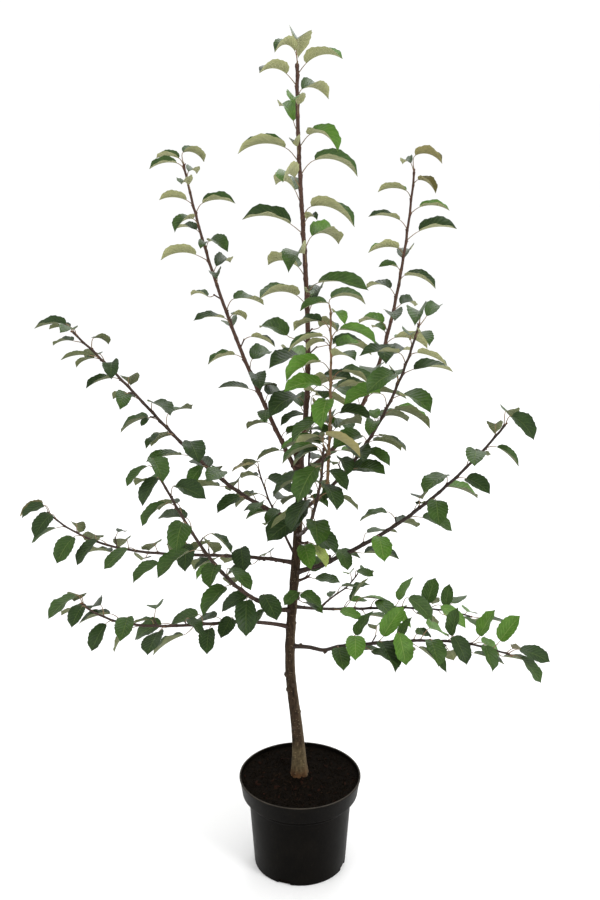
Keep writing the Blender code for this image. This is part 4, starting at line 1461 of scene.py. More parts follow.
def add_limb_knobs(index, name, route):
    """Old bud bases and healed cuts along the bare foot of a bough."""
    dice = random.Random(KNOB_SEED + index)
    places = []
    aims = []
    sizes = []
    mark = KNOB_FIRST
    while mark < route.limb.bare + KNOB_LAST:
        along = route.along(mark)
        out = spoke_of(route, along, dice.uniform(0.0, 2.0 * math.pi))
        width = route.radius(mark) * dice.uniform(*KNOB_WIDTHS)
        places.append(sagging(route, mark) + out * (route.radius(mark) - LIMB_KNOB_SUNK))
        aims.append((out + along * LIMB_KNOB_LEAN).normalized())
        sizes.append(Vector((width, width * KNOB_TALL, width * dice.uniform(*KNOB_HEIGHTS))))
        mark += dice.uniform(*KNOB_GAPS)
    return deal(name + "_knobs", LUMP, CUT_WOOD, places, aims, sizes)


def add_stub(name, route):
    """The stub of a twig that was cut off a bough."""
    site, turn, width, length = STUBS[name]
    along = route.along(site)
    out = spoke_of(route, along, math.radians(turn))
    aim = (out + along * STUB_LEAN_AHEAD).normalized()
    size = Vector((width, width, length))
    return deal(name + "_stub", PEG, CUT_WOOD, [sagging(route, site)], [aim], [size])


def add_cut(name, place, aim, radius):
    """The flat face of a pruning cut, with a healing rim."""
    face = small_part(name + "_face", [(size * radius, height) for size, height in CUT_RINGS], CUT_SIDES)
    cut = deal(name, face, CUT_WOOD, [place], [aim], [Vector((1.0, 1.0, 1.0))])
    remove(face)
    return cut


print("knobs on the trunk:", len(KNOBS), "stubs on boughs:", len(STUBS))

# %% [markdown]
# Now the wood is put together.  The trunk gets its skin, its knobs and its pruning cut.
# Each shoot gets its skin, its spurs, a bud at the root of every leaf and one at its tip,
# its knobs, and its stub where it has one.

# %% Trunk and shoots
TRUNK_SIDES = 28
LIMB_SIDES = 12
CUT_SUNK = 0.0002
BUD_SIZE = Vector((0.0016, 0.0016, 0.0042))
BUD_SITE = 0.85
BUD_LEAN = 1.1
BUD_LEAST = 0.8
BUD_GAIN = 0.25
TIP_BUD_INSET = 0.001
TIP_BUD_SHARE = 1.1


def build_trunk():
    places, radii = trunk_skin_line()
    line = line_object("trunk_skin", [(places, radii)])
    values = {
        "Sides": TRUNK_SIDES, "Girth": 0.011, "Relief": 0.0016, "Ridges": 170.0,
        "Root Lobes": 0.016, "Seed": 3.0, "Bark": TRUNK_BARK,
    }
    skin = run_nodes(line, SKIN, values)
    aim = (places[-1] - places[-4]).normalized()
    cut = add_cut("trunk_cut", places[-1] - aim * CUT_SUNK, aim, radii[-1])
    return join("tree_trunk", [skin, add_knobs(), cut])


def add_buds(name, route, sites):
    """A bud in the corner of every leaf stalk, and a larger one at the shoot's tip."""
    places = [route.at(site) + side * (route.radius(site) * BUD_SITE) for site, side in sites]
    aims = [(side + route.along(site) * BUD_LEAN).normalized() for site, side in sites]
    girths = [BUD_LEAST + BUD_GAIN * route.radius(site) / route.limb.thick for site, _ in sites]
    places.append(route.at(route.length - TIP_BUD_INSET))
    aims.append(route.along(route.length))
    girths.append(TIP_BUD_SHARE)
    return deal(name + "_buds", BUD, BUD_SKIN, places, aims, [BUD_SIZE * girth for girth in girths])


def build_shoot(index, name, route, leaves, spurs):
    sites = nodes_of(route, leaves)
    lines = [shoot_skin_line(route, sites), *[spur_line(*spur) for spur in spurs]]
    line = line_object(name + "_skin", lines)
    values = {
        "Sides": LIMB_SIDES, "Girth": 0.004, "Relief": 0.00035, "Ridges": 260.0,
        "Seed": float(index), "Bark": SHOOT_BARK[BARK_OF_SHOOT.get(name, "plain")],
    }
    skin = run_nodes(line, SKIN, values)
    pieces = [skin, add_buds(name, route, sites), add_limb_knobs(index, name, route)]
    if name in STUBS:
        pieces.append(add_stub(name, route))
    return join("shoot" + name.removeprefix("leaves"), pieces)


trunk = build_trunk()
SHOOTS = {}
for index, (name, route) in enumerate(ROUTES.items()):
    leaves, spurs = GROWN[name]
    fine_leaves, fine_spurs = FINE[name]
    SHOOTS[name] = build_shoot(index, name, route, leaves + fine_leaves, spurs + fine_spurs)
for part in (BUD, LUMP, PEG):
    remove(part)
print("trunk faces:", len(trunk.data.polygons))
print("shoots:", len(SHOOTS), "faces:", sum(len(item.data.polygons) for item in SHOOTS.values()))

# %% [markdown]
# An apple leaf is an oval with a short drawn-out point and a finely toothed edge.  One
# closed blade is modelled at unit size, and it knows for each of its points how far along
# and how far out it lies.  It has few faces, because it is dealt out hundreds of times.
# Its upper and under faces run over the same points along the edge, so that they never
# cut through each other when the blade bends.

# %% The blade, once
BLADE_SLICES = 15
FIRST_SLICE = 0.35
BLADE_SPARE = 0.1
TOOTH = 0.034
BLADE_SHOULDER = 0.80
BLADE_ROUNDNESS = 0.54
TIP_START = 0.79
TIP_DRAWN = 0.84
BLADE_MIDRIB_DEPTH = 0.0007
BLADE_EDGE_LIFT = 0.0001


def blade_half(share):
    """Half the blade's breadth at a share of its length, for a blade one unit broad."""
    oval = 0.5 * math.sin(math.pi * share**BLADE_SHOULDER) ** BLADE_ROUNDNESS
    near_tip = min(1.0, max(0.0, (share - TIP_START) / (1.0 - TIP_START)))
    eased = near_tip * near_tip * (3.0 - 2.0 * near_tip)
    return oval * (1.0 - TIP_DRAWN * eased)


def slice_points(shape, i):
    """Points across the blade at one slice: left edge, midrib above, right edge, midrib below."""
    share = (i + FIRST_SLICE) / (BLADE_SLICES - BLADE_SPARE)
    half = blade_half(share) * (1.0 + (TOOTH if i % 2 else -TOOTH))
    corners = [(out, BLADE_EDGE_LIFT) for out in (-half, 0.0, half)] + [(0.0, -BLADE_MIDRIB_DEPTH)]
    return [shape.verts.new((share, out, lift)) for out, lift in corners]


def build_blade():
    """A closed leaf blade; 'own' holds each point's share of length, breadth and thickness."""
    shape = bmesh.new()
    left, above, right, below = zip(*[slice_points(shape, i) for i in range(BLADE_SLICES)])
    foot = shape.verts.new((0.0, 0.0, -BLADE_MIDRIB_DEPTH / 2.0))
    tip = shape.verts.new((1.0, 0.0, 0.0))
    own = [vert.co.copy() for vert in shape.verts]
    for middle in (above, below):
        for i in range(BLADE_SLICES - 1):
            shape.faces.new((left[i], left[i + 1], middle[i + 1], middle[i]))
            shape.faces.new((middle[i], middle[i + 1], right[i + 1], right[i]))
        for edge in (left, right):
            shape.faces.new((foot, edge[0], middle[0]))
            shape.faces.new((tip, edge[-1], middle[-1]))
    bmesh.ops.recalc_face_normals(shape, faces=shape.faces)
    shape.faces.index_update()
    half_way = len(shape.faces) // 2
    for edge in shape.edges:
        sides = {face.index < half_way for face in edge.link_faces}
        edge.smooth = len(sides) == 1
    layer = shape.loops.layers.uv.new("UVMap")
    for face in shape.faces:
        face.smooth = True
        for loop in face.loops:
            along, out, _ = loop.vert.co
            loop[layer].uv = (along, 0.5 + 0.5 * ((out > 0.0) - (out < 0.0)))
    blade = add_shape("blade", shape)
    set_column(blade.data, "own", own)
    set_column(blade.data, "under", [0] * half_way + [1] * half_way, "INT", "FACE")
    return blade


BLADE = build_blade()
print("one blade:", len(BLADE.data.polygons), "faces")

# %% [markdown]
# The leaf tree copies the blade to every leaf's place and then bends each copy by the
# same arc that the solids use: it lifts off, arches over, folds along its midrib and
# rolls about it.  Each leaf also twists, sways and has its own wavy edge.

# %% Geometry tree: leaves on their stalks
UPPER_TINTS = ("deep", "middle", "fresh", "yellow", "bronze")
UNDER_TINTS = ("under pale", "under dull", "under warm")
TWIST_PIVOT = 0.3
WAVES_ALONG = 15.0
WAVE_LAG = 1.4
# leaves less folded than this hang open, undersides down, and get the darker underside: painted shade
PAINTED_SHADE_BELOW = 0.45


def build_leaf_group():
    sockets = [("Leaves", "Geometry"), ("Blade", "Object")]
    sockets += [(tint, "Material") for tint in UPPER_TINTS + UNDER_TINTS]
    outputs = [("Blades", "Geometry")]
    group, g, given, result = new_group("leaves_on_stalks", "GeometryNodeTree", sockets, outputs)
    blade = g.node("GeometryNodeObjectInfo", {"Object": given["Blade"]}, "Geometry")
    blades = g.node("GeometryNodeInstanceOnPoints", {"Points": given["Leaves"], "Instance": blade})
    blades = g.node("GeometryNodeRealizeInstances", {"Geometry": blades})

    own = named(g, "own", "FLOAT_VECTOR")
    share = g.part(own, "X")
    length = named(g, "length")
    lift = named(g, "lift")
    droop = named(g, "droop")
    ahead = named(g, "ahead", "FLOAT_VECTOR")
    pitch = g.subtract(lift, g.times(droop, share))
    arc = g.math("DIVIDE", length, droop)
    level = g.times(g.subtract(g.math("SINE", lift), g.math("SINE", pitch)), arc)
    rise = g.times(g.subtract(g.math("COSINE", pitch), g.math("COSINE", lift)), arc)
    middle = g.vector("ADD", g.scaled(ahead, level), g.combined(0.0, 0.0, rise))
    middle = g.vector("ADD", named(g, "stalk_end", "FLOAT_VECTOR"), middle)
    upward = g.combined(0.0, 0.0, g.math("SINE", pitch))
    forward = g.vector("ADD", g.scaled(ahead, g.math("COSINE", pitch)), upward)
    level_side = g.vector("CROSS_PRODUCT", (0.0, 0.0, 1.0), ahead)
    level_normal = g.vector("CROSS_PRODUCT", forward, level_side)
    roll = g.add(named(g, "roll"), g.times(named(g, "twist"), g.subtract(share, TWIST_PIVOT)))
    turn_cos = g.math("COSINE", roll)
    turn_sin = g.math("SINE", roll)
    side = g.vector("ADD", g.scaled(level_side, turn_cos), g.scaled(level_normal, turn_sin))
    normal = g.vector("SUBTRACT", g.scaled(level_normal, turn_cos), g.scaled(level_side, turn_sin))

    out = g.part(own, "Y")
    wide = g.times(out, named(g, "breadth"))
    far = g.math("ABSOLUTE", wide)
    fold = named(g, "fold")
    sideways = g.times(wide, g.math("COSINE", fold))
    sway = g.times(named(g, "sway"), g.times(g.times(share, share), length))
    raised = g.times(far, g.math("SINE", fold))
    lag = g.add(named(g, "phase"), g.times(g.math("SIGN", out), WAVE_LAG))
    waves = g.math("SINE", g.add(g.times(share, WAVES_ALONG), lag))
    ripple = g.times(waves, g.times(far, named(g, "wave")))
    height = g.add(g.add(raised, ripple), g.part(own, "Z"))
    place = g.vector("ADD", middle, g.scaled(side, g.add(sideways, sway)))
    place = g.vector("ADD", place, g.scaled(normal, height))
    blades = g.node("GeometryNodeSetPosition", {"Geometry": blades, "Position": place})

    tint = named(g, "tint")
    under = g.math("GREATER_THAN", named(g, "under"), 0.5)
    # undersides of leaves that hang open face down and get the darker underside: painted shade
    painted_shade = g.times(under, g.math("LESS_THAN", named(g, "folded"), PAINTED_SHADE_BELOW))
    warm = g.times(under, g.math("GREATER_THAN", tint, UPPER_TINTS.index("fresh") + 0.5))
    chosen = [g.math("COMPARE", tint, float(number), 0.5) for number in range(len(UPPER_TINTS))]
    for label, selection in zip(UPPER_TINTS + UNDER_TINTS, [*chosen, under, painted_shade, warm]):
        inputs = {"Geometry": blades, "Selection": selection, "Material": given[label]}
        blades = g.node("GeometryNodeSetMaterial", inputs)
    g.feed(result["Blades"], blades)
    return group


LEAF_TREE = build_leaf_group()
print("geometry tree:", LEAF_TREE.name)

# %% [markdown]
# Old leaves are dark green with a soft shine, the ones low on the right are fresher and,
# in their lighter mix, also partly painted light, and the youngest at the tips are bronze.
# Undersides are matt, downy and pale grey-green, with veins that stand out; those of leaves
# that hang open, facing down, get a darker copy: painted shade.  The colours are plain;
# the veins come from the blade's own map.

# %% Leaf materials
def paint_leaf(g, shader, tones, patch_size, contrast, vein_share):
    """Two tones in patches with paler veins; returns the heights of the veins and the grain."""
    dark, light, vein = [rgb(*tone) for tone in tones]
    veins = group_node(g, VEINS, Vector=g.node("ShaderNodeUVMap", uv_map="UVMap"))
    grain = group_node(g, GRAIN, Vector=object_place(g), Size=patch_size, Contrast=contrast)
    shown = g.blend(grain["Mask"], dark, light)
    shown = g.blend(g.times(veins["Mask"], vein_share), shown, vein)
    g.feed(shader.inputs["Base Color"], shown)
    return veins["Height"], grain["Height"]


def build_leaf_top(name, roughness, *tones):
    made, g, shader = new_material(name, roughness, Specular_IOR_Level=0.22)
    veins, grain = paint_leaf(g, shader, tones, 70.0, 0.9, 0.55)
    bump(g, shader, g.add(veins, g.times(grain, 0.4)), 0.0007, 0.8)
    return made


def build_leaf_under(name, *tones):
    made, g, shader = new_material(name, 0.75, Specular_IOR_Level=0.15, Sheen_Weight=0.06)
    veins, _ = paint_leaf(g, shader, tones, 90.0, 0.8, 0.7)
    bump(g, shader, g.times(veins, -1.0), 0.0006, 0.7)
    return made


LEAF_FINISHES = {
    "deep": build_leaf_top("leaf_deep", 0.44, (26, 43, 16), (43, 66, 24), (80, 98, 48)),
    "middle": build_leaf_top("leaf_middle", 0.44, (38, 60, 20), (58, 86, 30), (96, 116, 58)),
    "fresh": build_leaf_top("leaf_fresh", 0.46, (62, 96, 28), (86, 126, 42), (126, 150, 76)),
    "yellow": build_leaf_top("leaf_yellow", 0.46, (118, 136, 62), (154, 168, 88), (176, 182, 120)),
    "bronze": build_leaf_top("leaf_bronze", 0.46, (70, 68, 30), (96, 90, 44), (116, 98, 60)),
    "under pale": build_leaf_under("leaf_under", (134, 138, 92), (168, 168, 122), (186, 184, 142)),
    # the darker underside for leaves that hang open, facing down: painted shade
    "under dull": build_leaf_under("leaf_under_dull", (80, 88, 54), (108, 114, 72), (130, 134, 92)),
    "under warm": build_leaf_under("leaf_under_warm", (128, 122, 76), (158, 150, 100), (166, 156, 112)),
}
print("leaf finishes:", *LEAF_FINISHES)

# %% [markdown]
# Every shoot has its own share of each tint, read off the photograph shoot by shoot, and
# a leaf's tint also follows its place: the last leaves of a shoot are the bronze ones.
# So the shares hold light and shade as well as tint: the dark mix of the shoots on the
# left and at the back is partly painted shade, and the light mix of the shoots at the
# front right is partly painted light.
# On a steep shoot the leaves fold up and show their pale undersides.  On a level one they
# hang open and flat, with little of their arch left, and their undersides, which face down,
# are painted darker: painted shade.

# %% How each leaf looks
YOUNG_SHARE = 0.90
FOLD_BASE_HEIGHT = 0.90
FOLD_FULL_HEIGHT = 1.40
FOLD_LOW_SHARE = 0.35
FOLD_POWER = 1.5
ARCH_KEPT_OPEN = 0.42
ARCH_KEPT_FOLDED = 0.88
STALK_STEPS = 4
STALK_TOP_RADIUS = 0.0007
STALK_FOOT_RADIUS = 0.0011
BLADE_JOIN = 0.002
STALK_BEND = 0.35
STALK_END_SHARE = 0.8
# shares of deep, middle, fresh and yellow leaves, and how likely a tip leaf is bronze
TINT_MIXES = {
    "dark": ((0.60, 0.37, 0.03, 0.00), 0.25),
    "mixed": ((0.37, 0.46, 0.17, 0.00), 0.14),
    "light": ((0.14, 0.43, 0.41, 0.02), 0.03),
}
# shoots whose leaves aren't of the mixed kind: the dark mix on the left and back shoots is
# partly painted shade, and the light mix on the front right ones partly painted light
MIX_OF_SHOOT = {
    "leaves_left_middle": "dark", "leaves_left_level": "dark", "leaves_left_rising": "dark",
    "leaves_left_low": "dark", "leaves_back_shoot": "dark", "leaves_back_left_shoot": "dark",
    "leaves_right_low": "light", "leaves_right_slender": "light", "leaves_upright_shoot": "light",
    "leaves_right_twig": "light", "leaves_spur_high": "light", "leaves_spur_low": "light",
}


def pick_tint(dice, route, leaf):
    shares, bronze = TINT_MIXES[MIX_OF_SHOOT.get(route.limb.leaves, "mixed")]
    tip = route.at(route.length)
    young = (leaf.root - tip).length < route.length * (1.0 - YOUNG_SHARE)
    if young and dice.random() < bronze:
        return float(UPPER_TINTS.index("bronze"))
    draw = dice.random()
    for number, share in enumerate(shares):
        draw -= share
        if draw < 0.0:
            return float(number)
    return 0.0


def part_way(start, end, share):
    return start + (end - start) * share


def foldedness_of(route, leaf):
    """Nought for a leaf that hangs open on a level shoot, one for a folded leaf high on a steep one."""
    mark, _ = route.nearest(leaf.root)
    upward = route.along(mark).z
    steep = min(1.0, max(0.0, upward)) ** FOLD_POWER
    high = (leaf.root.z - FOLD_BASE_HEIGHT) / (FOLD_FULL_HEIGHT - FOLD_BASE_HEIGHT)
    return steep * part_way(FOLD_LOW_SHARE, 1.0, min(1.0, max(0.0, high)))


def chord_share(droop):
    """How long an arc's chord is, as a share of the arc."""
    half = 0.5 * math.radians(droop)
    return math.sin(half) / half


def less_arched(leaf, share):
    """The same leaf with a flatter blade between the same two ends."""
    kept = leaf.droop * part_way(ARCH_KEPT_OPEN, ARCH_KEPT_FOLDED, share)
    length = leaf.length * chord_share(leaf.droop) / chord_share(kept)
    return leaf._replace(lift=leaf.lift - 0.5 * (leaf.droop - kept), droop=kept, length=length)


def stalk_line(leaf):
    """A stalk as a short bent line that runs on into the blade's midrib."""
    _, forward, _, _ = leaf_frame(leaf, 0.0)
    reach = (leaf.stalk_end - leaf.root).length
    bend = leaf.stalk_end - forward * (reach * STALK_BEND)
    places = arc_points(leaf.root, bend, leaf.stalk_end, STALK_STEPS)
    shares = [i / STALK_STEPS for i in range(STALK_STEPS + 1)]
    radii = [part_way(STALK_FOOT_RADIUS, STALK_TOP_RADIUS, share) for share in shares]
    places.append(leaf_frame(leaf, BLADE_JOIN / leaf.length)[0])
    radii.append(STALK_TOP_RADIUS * STALK_END_SHARE)
    return places, radii


print("leaf mixes:", *TINT_MIXES)

# %% [markdown]
# Now each shoot's leaves become two meshes.  The blades come from the leaf tree, which
# reads one column of numbers for each thing that differs from leaf to leaf.  The stalks
# are thin lines with the same skin tree as the wood.

# %% Leaves of every shoot
LOOK_SEED = 97
TWIST_PLAY = 0.75
LENGTH_SHARE = 0.95
FLAT_BREADTH = 0.93
STEEP_BREADTH = 0.71
FOLD_PLAY = 9.0
FOLD_FLAT = 16.0
FOLD_STEEP = 42.0
SWAY_PLAY = 0.07
WAVE_HEIGHTS = (0.02, 0.11)


def build_leaves(index, name, route, leaves):
    dice = random.Random(LOOK_SEED + SEED_STEP * index)
    folded = [foldedness_of(route, leaf) for leaf in leaves]
    breadths = [part_way(FLAT_BREADTH, STEEP_BREADTH, share) for share in folded]
    folds = [part_way(FOLD_FLAT, FOLD_STEEP, share) for share in folded]
    leaves = [less_arched(leaf, share) for leaf, share in zip(leaves, folded)]
    roots = [leaf.stalk_end for leaf in leaves]
    columns = {
        "stalk_end": roots,
        "ahead": [leaf.ahead for leaf in leaves],
        "lift": [math.radians(leaf.lift) for leaf in leaves],
        "droop": [math.radians(leaf.droop) for leaf in leaves],
        "roll": [math.radians(leaf.roll) for leaf in leaves],
        "length": [leaf.length * LENGTH_SHARE for leaf in leaves],
        "breadth": [leaf.breadth * share for leaf, share in zip(leaves, breadths)],
        "fold": [math.radians(fold + stray(dice, FOLD_PLAY)) for fold in folds],
        "folded": folded,
        "twist": [stray(dice, TWIST_PLAY) for _ in leaves],
        "sway": [stray(dice, SWAY_PLAY) for _ in leaves],
        "wave": [dice.uniform(*WAVE_HEIGHTS) for _ in leaves],
        "phase": [dice.uniform(0.0, 2.0 * math.pi) for _ in leaves],
        "tint": [pick_tint(dice, route, leaf) for leaf in leaves],
    }
    item = add_points(name + "_blades", roots, [], **columns)
    blades = run_nodes(item, LEAF_TREE, {"Blade": BLADE, **LEAF_FINISHES})
    line = line_object(name + "_stalks", [stalk_line(leaf) for leaf in leaves])
    stalks = run_nodes(line, SKIN, {"Sides": 5, "Girth": 0.001, "Relief": 0.0, "Bark": STALK_SKIN})
    return join("blades" + name.removeprefix("leaves"), [blades, stalks])


BLADES = {}
for index, (name, route) in enumerate(ROUTES.items()):
    BLADES[name] = build_leaves(index, name, route, GROWN[name][0] + FINE[name][0])
remove(BLADE)
print("leaf pieces:", len(BLADES), "faces:", sum(len(item.data.polygons) for item in BLADES.values()))

# %% [markdown]
# Black nursery plastic is matt on top of a slight shine and a little dusty, and a pale
# band along its lip is a painted highlight.

# %% Black plastic
# heights of the lip's top, where a painted highlight runs
LIP_HIGHLIGHT = (0.2096, 0.2108)


def build_pot_plastic():
    made, g, shader = new_material("black_plastic", 0.42, Specular_IOR_Level=0.04)
    place = object_place(g)
    grain = group_node(g, GRAIN, Vector=place, Size=40.0, Contrast=0.8)
    dust = group_node(g, DUST, Vector=place, Size=16.0, Amount=0.05)["Mask"]
    shown = g.blend(grain["Mask"], rgb(4, 3, 2), rgb(9, 7, 5))
    shown = g.blend(dust, shown, rgb(112, 100, 82))
    # a paler band along the top of the lip, broken up by the grain: painted highlight
    lip_highlight = g.times(g.between(g.part(place, "Z"), *LIP_HIGHLIGHT), g.add(0.12, g.times(grain["Mask"], 0.6)))
    shown = g.blend(lip_highlight, shown, rgb(84, 78, 70))
    g.feed(shader.inputs["Base Color"], shown)
    rough = g.add(g.times(grain["Mask"], 0.12), g.times(dust, 0.4))
    g.feed(shader.inputs["Roughness"], g.add(0.36, rough))
    swell = g.noise(place, 9.0, 1.0)
    bump(g, shader, g.add(g.times(swell, 3.0), g.times(grain["Height"], 0.35)), 0.0008)
    return made


PLASTIC = build_pot_plastic()
print("material:", PLASTIC.name)

# %% [markdown]
# The pot is one thin shell, turned from its outline.  A screw modifier turns the outline,
# and a boolean takes the drain notches out of its foot.

# %% Outlines with rounded corners, and bodies turned from them
TURN_MERGE = 1e-6
ROUND_STEPS = 4
ROUND_LIMIT = 0.45
CREASE = 40.0


def rounded(outline):
    """An outline of (x, z, rounding radius) corners, each corner drawn as an arc."""
    drawn = []
    for i, (x, z, radius) in enumerate(outline):
        corner = Vector((x, z))
        if radius == 0.0:
            drawn.append(corner)
            continue
        before = Vector(outline[i - 1][:2]) - corner
        after = Vector(outline[i + 1][:2]) - corner
        start = corner + before.normalized() * min(radius, before.length * ROUND_LIMIT)
        end = corner + after.normalized() * min(radius, after.length * ROUND_LIMIT)
        drawn.extend(arc_points(start, corner, end, ROUND_STEPS))
    return drawn


def turned(name, outline, steps):
    """A body of revolution from an outline of (radius, height) points."""
    points = [(point[0], 0.0, point[1]) for point in outline]
    item = add_points(name, points, [(i, i + 1) for i in range(len(points) - 1)])
    screw = item.modifiers.new("turn", "SCREW")
    screw.axis = "Z"
    screw.steps = steps
    screw.render_steps = steps
    screw.use_merge_vertices = True
    screw.merge_threshold = TURN_MERGE
    screw.use_normal_calculate = True
    keep_result(item)
    fixed = bmesh.new()
    fixed.from_mesh(item.data)
    bmesh.ops.remove_doubles(fixed, verts=fixed.verts, dist=TURN_MERGE)
    bmesh.ops.recalc_face_normals(fixed, faces=fixed.faces)
    fixed.to_mesh(item.data)
    fixed.free()
    return item


def smooth(item, degrees=CREASE):
    """Smooth shading, with the edges sharper than an angle kept crisp."""
    shape = bmesh.new()
    shape.from_mesh(item.data)
    for face in shape.faces:
        face.smooth = True
    for edge in shape.edges:
        edge.smooth = len(edge.link_faces) == 2 and edge.calc_face_angle() < math.radians(degrees)
    shape.to_mesh(item.data)
    shape.free()


print("corners are rounded in", ROUND_STEPS, "steps")

# %% [markdown]
# From the middle of its floor the outline climbs the inside of the wall, goes over the
# lip, and comes down the outside past the band, its step and a shallow ring.

# %% The pot
POT_HEIGHT = 0.211
RIM_RADIUS = 0.130
BAND_HEIGHT = 0.040
BAND_FOOT_RADIUS = 0.1235
WALL_TOP_RADIUS = 0.1105
BASE_RADIUS = 0.099
POT_WALL = 0.0020
LIP_HEIGHT = 0.0030
LIP_PROUD = 0.0012
RING_BELOW = 0.0125
RING_PROUD = 0.0006
RING_HALF = 0.0010
RING_FOOT_HALF = 0.0022
RING_SLANT = 0.0002
BASE_CHAMFER = 0.0020
POT_STEPS = 160
NOTCH_COUNT = 4
NOTCH_FIRST_ANGLE = -110.0
NOTCH_WIDTH = 0.027
NOTCH_HEIGHT = 0.012
NOTCH_DEPTH = 0.012
NOTCH_CORNER = 0.006
NOTCH_ROUNDING = 6


def pot_outline():
    """Inside floor, inside wall, lip, outside wall with its band and ring, and underside."""
    band_foot = POT_HEIGHT - BAND_HEIGHT
    band_top = RIM_RADIUS - LIP_PROUD
    ring = band_foot - RING_BELOW
    ring_radius = BASE_RADIUS + (WALL_TOP_RADIUS - BASE_RADIUS) * ring / band_foot
    return rounded([
        (0.0, POT_WALL, 0.0),
        (BASE_RADIUS - POT_WALL, POT_WALL, 0.002),
        (WALL_TOP_RADIUS - POT_WALL, band_foot, 0.001),
        (BAND_FOOT_RADIUS - POT_WALL, band_foot + POT_WALL, 0.001),
        (band_top - POT_WALL, POT_HEIGHT, 0.0004),
        (RIM_RADIUS, POT_HEIGHT, 0.0012),
        (RIM_RADIUS, POT_HEIGHT - LIP_HEIGHT, 0.0008),
        (band_top, POT_HEIGHT - LIP_HEIGHT, 0.0004),
        (BAND_FOOT_RADIUS, band_foot, 0.0018),
        (WALL_TOP_RADIUS, band_foot - POT_WALL, 0.0016),
        (ring_radius + RING_SLANT, ring + RING_FOOT_HALF, 0.0006),
        (ring_radius + RING_PROUD, ring + RING_HALF, 0.0006),
        (ring_radius + RING_PROUD, ring - RING_HALF, 0.0006),
        (ring_radius - RING_SLANT, ring - RING_FOOT_HALF, 0.0006),
        (BASE_RADIUS, BASE_CHAMFER, 0.0018),
        (BASE_RADIUS - BASE_CHAMFER, 0.0, 0.0010),
        (0.0, 0.0, 0.0),
    ])


def cut_notch(pot, angle):
    """Take one drain notch out of the wall's foot, with its upper corners rounded."""
    shape = bmesh.new()
    bmesh.ops.create_cube(shape, size=1.0)
    bmesh.ops.scale(shape, vec=(2.0 * NOTCH_DEPTH, NOTCH_WIDTH, 2.0 * NOTCH_HEIGHT), verts=shape.verts)
    edges = [
        edge for edge in shape.edges
        if abs(edge.verts[0].co.x - edge.verts[1].co.x) > NOTCH_DEPTH and edge.verts[0].co.z > 0.0
    ]
    rounding = {"offset": NOTCH_CORNER, "segments": NOTCH_ROUNDING, "profile": 0.5, "affect": "EDGES"}
    bmesh.ops.bevel(shape, geom=edges, **rounding)
    notch = add_shape("notch", shape)
    notch.location = (BASE_RADIUS * math.cos(angle), BASE_RADIUS * math.sin(angle), 0.0)
    notch.rotation_euler = (0.0, 0.0, angle)
    cut = pot.modifiers.new("notch", "BOOLEAN")
    cut.object = notch
    cut.operation = "DIFFERENCE"
    cut.solver = "EXACT"
    keep_result(pot)
    remove(notch)


def build_pot():
    pot = turned("nursery_pot", pot_outline(), POT_STEPS)
    for index in range(NOTCH_COUNT):
        cut_notch(pot, math.radians(NOTCH_FIRST_ANGLE + index * 360.0 / NOTCH_COUNT))
    smooth(pot)
    pot.data.materials.clear()
    pot.data.materials.append(PLASTIC)
    return pot


pot = build_pot()
print("pot faces:", len(pot.data.polygons))

# %% [markdown]
# The compost is dark, moist and crumbly, and lies a little higher round the trunk.  The
# bed is a turned body that fills the pot, and a geometry tree gives its upper face lumps.

# %% Bed of compost
BED_CLEAR = 0.0004
BED_RINGS = 34
BED_STEPS = 120
BED_RELIEF = 0.0042
BED_EDGE = 0.010
BED_CREASE = 60.0
TOP_SLACK = 0.0005
LUMP_LEVEL = 0.55
GRAIN_SHARE = 0.35
MOUND_HEIGHT = 0.0035
MOUND_SPREAD = 0.030


def build_bed_group():
    """Lumps on the bed's upper face and a low mound round the trunk, fading out at the wall."""
    group, g, given, result = new_group(
        "lumpy_bed", "GeometryNodeTree",
        [("Bed", "Geometry"), ("Height", "Float", BED_RELIEF), ("Edge", "Float", 0.11),
         ("Top", "Float", SOIL_TOP), ("Finish", "Material")],
        [("Bed", "Geometry")],
    )
    place = g.node("GeometryNodeInputPosition")
    level = g.vector("MULTIPLY", place, (1.0, 1.0, 0.0))
    far = g.vector("LENGTH", level)
    inside = g.between(far, given["Edge"], g.subtract(given["Edge"], BED_EDGE))
    on_top = g.math("GREATER_THAN", g.part(place, "Z"), g.subtract(given["Top"], TOP_SLACK))
    lumps = g.noise(level, 38.0, 3.0, 0.55)
    grains = g.noise(level, 190.0, 3.0, 0.6)
    height = g.add(g.subtract(lumps, LUMP_LEVEL), g.times(g.subtract(grains, 0.5), GRAIN_SHARE))
    height = g.times(height, given["Height"])
    to_trunk = g.vector("DISTANCE", level, (trunk_x(SOIL_TOP), TRUNK_Y, 0.0))
    squared = g.math("POWER", g.math("DIVIDE", to_trunk, MOUND_SPREAD), 2.0)
    near = g.math("EXPONENT", g.times(squared, -1.0))
    height = g.add(height, g.times(near, MOUND_HEIGHT))
    height = g.times(height, g.times(inside, on_top))
    inputs = {"Geometry": given["Bed"], "Offset": g.combined(0.0, 0.0, height)}
    bed = g.node("GeometryNodeSetPosition", inputs)
    bed = g.node("GeometryNodeSetMaterial", {"Geometry": bed, "Material": given["Finish"]})
    g.feed(result["Bed"], bed)
    return group


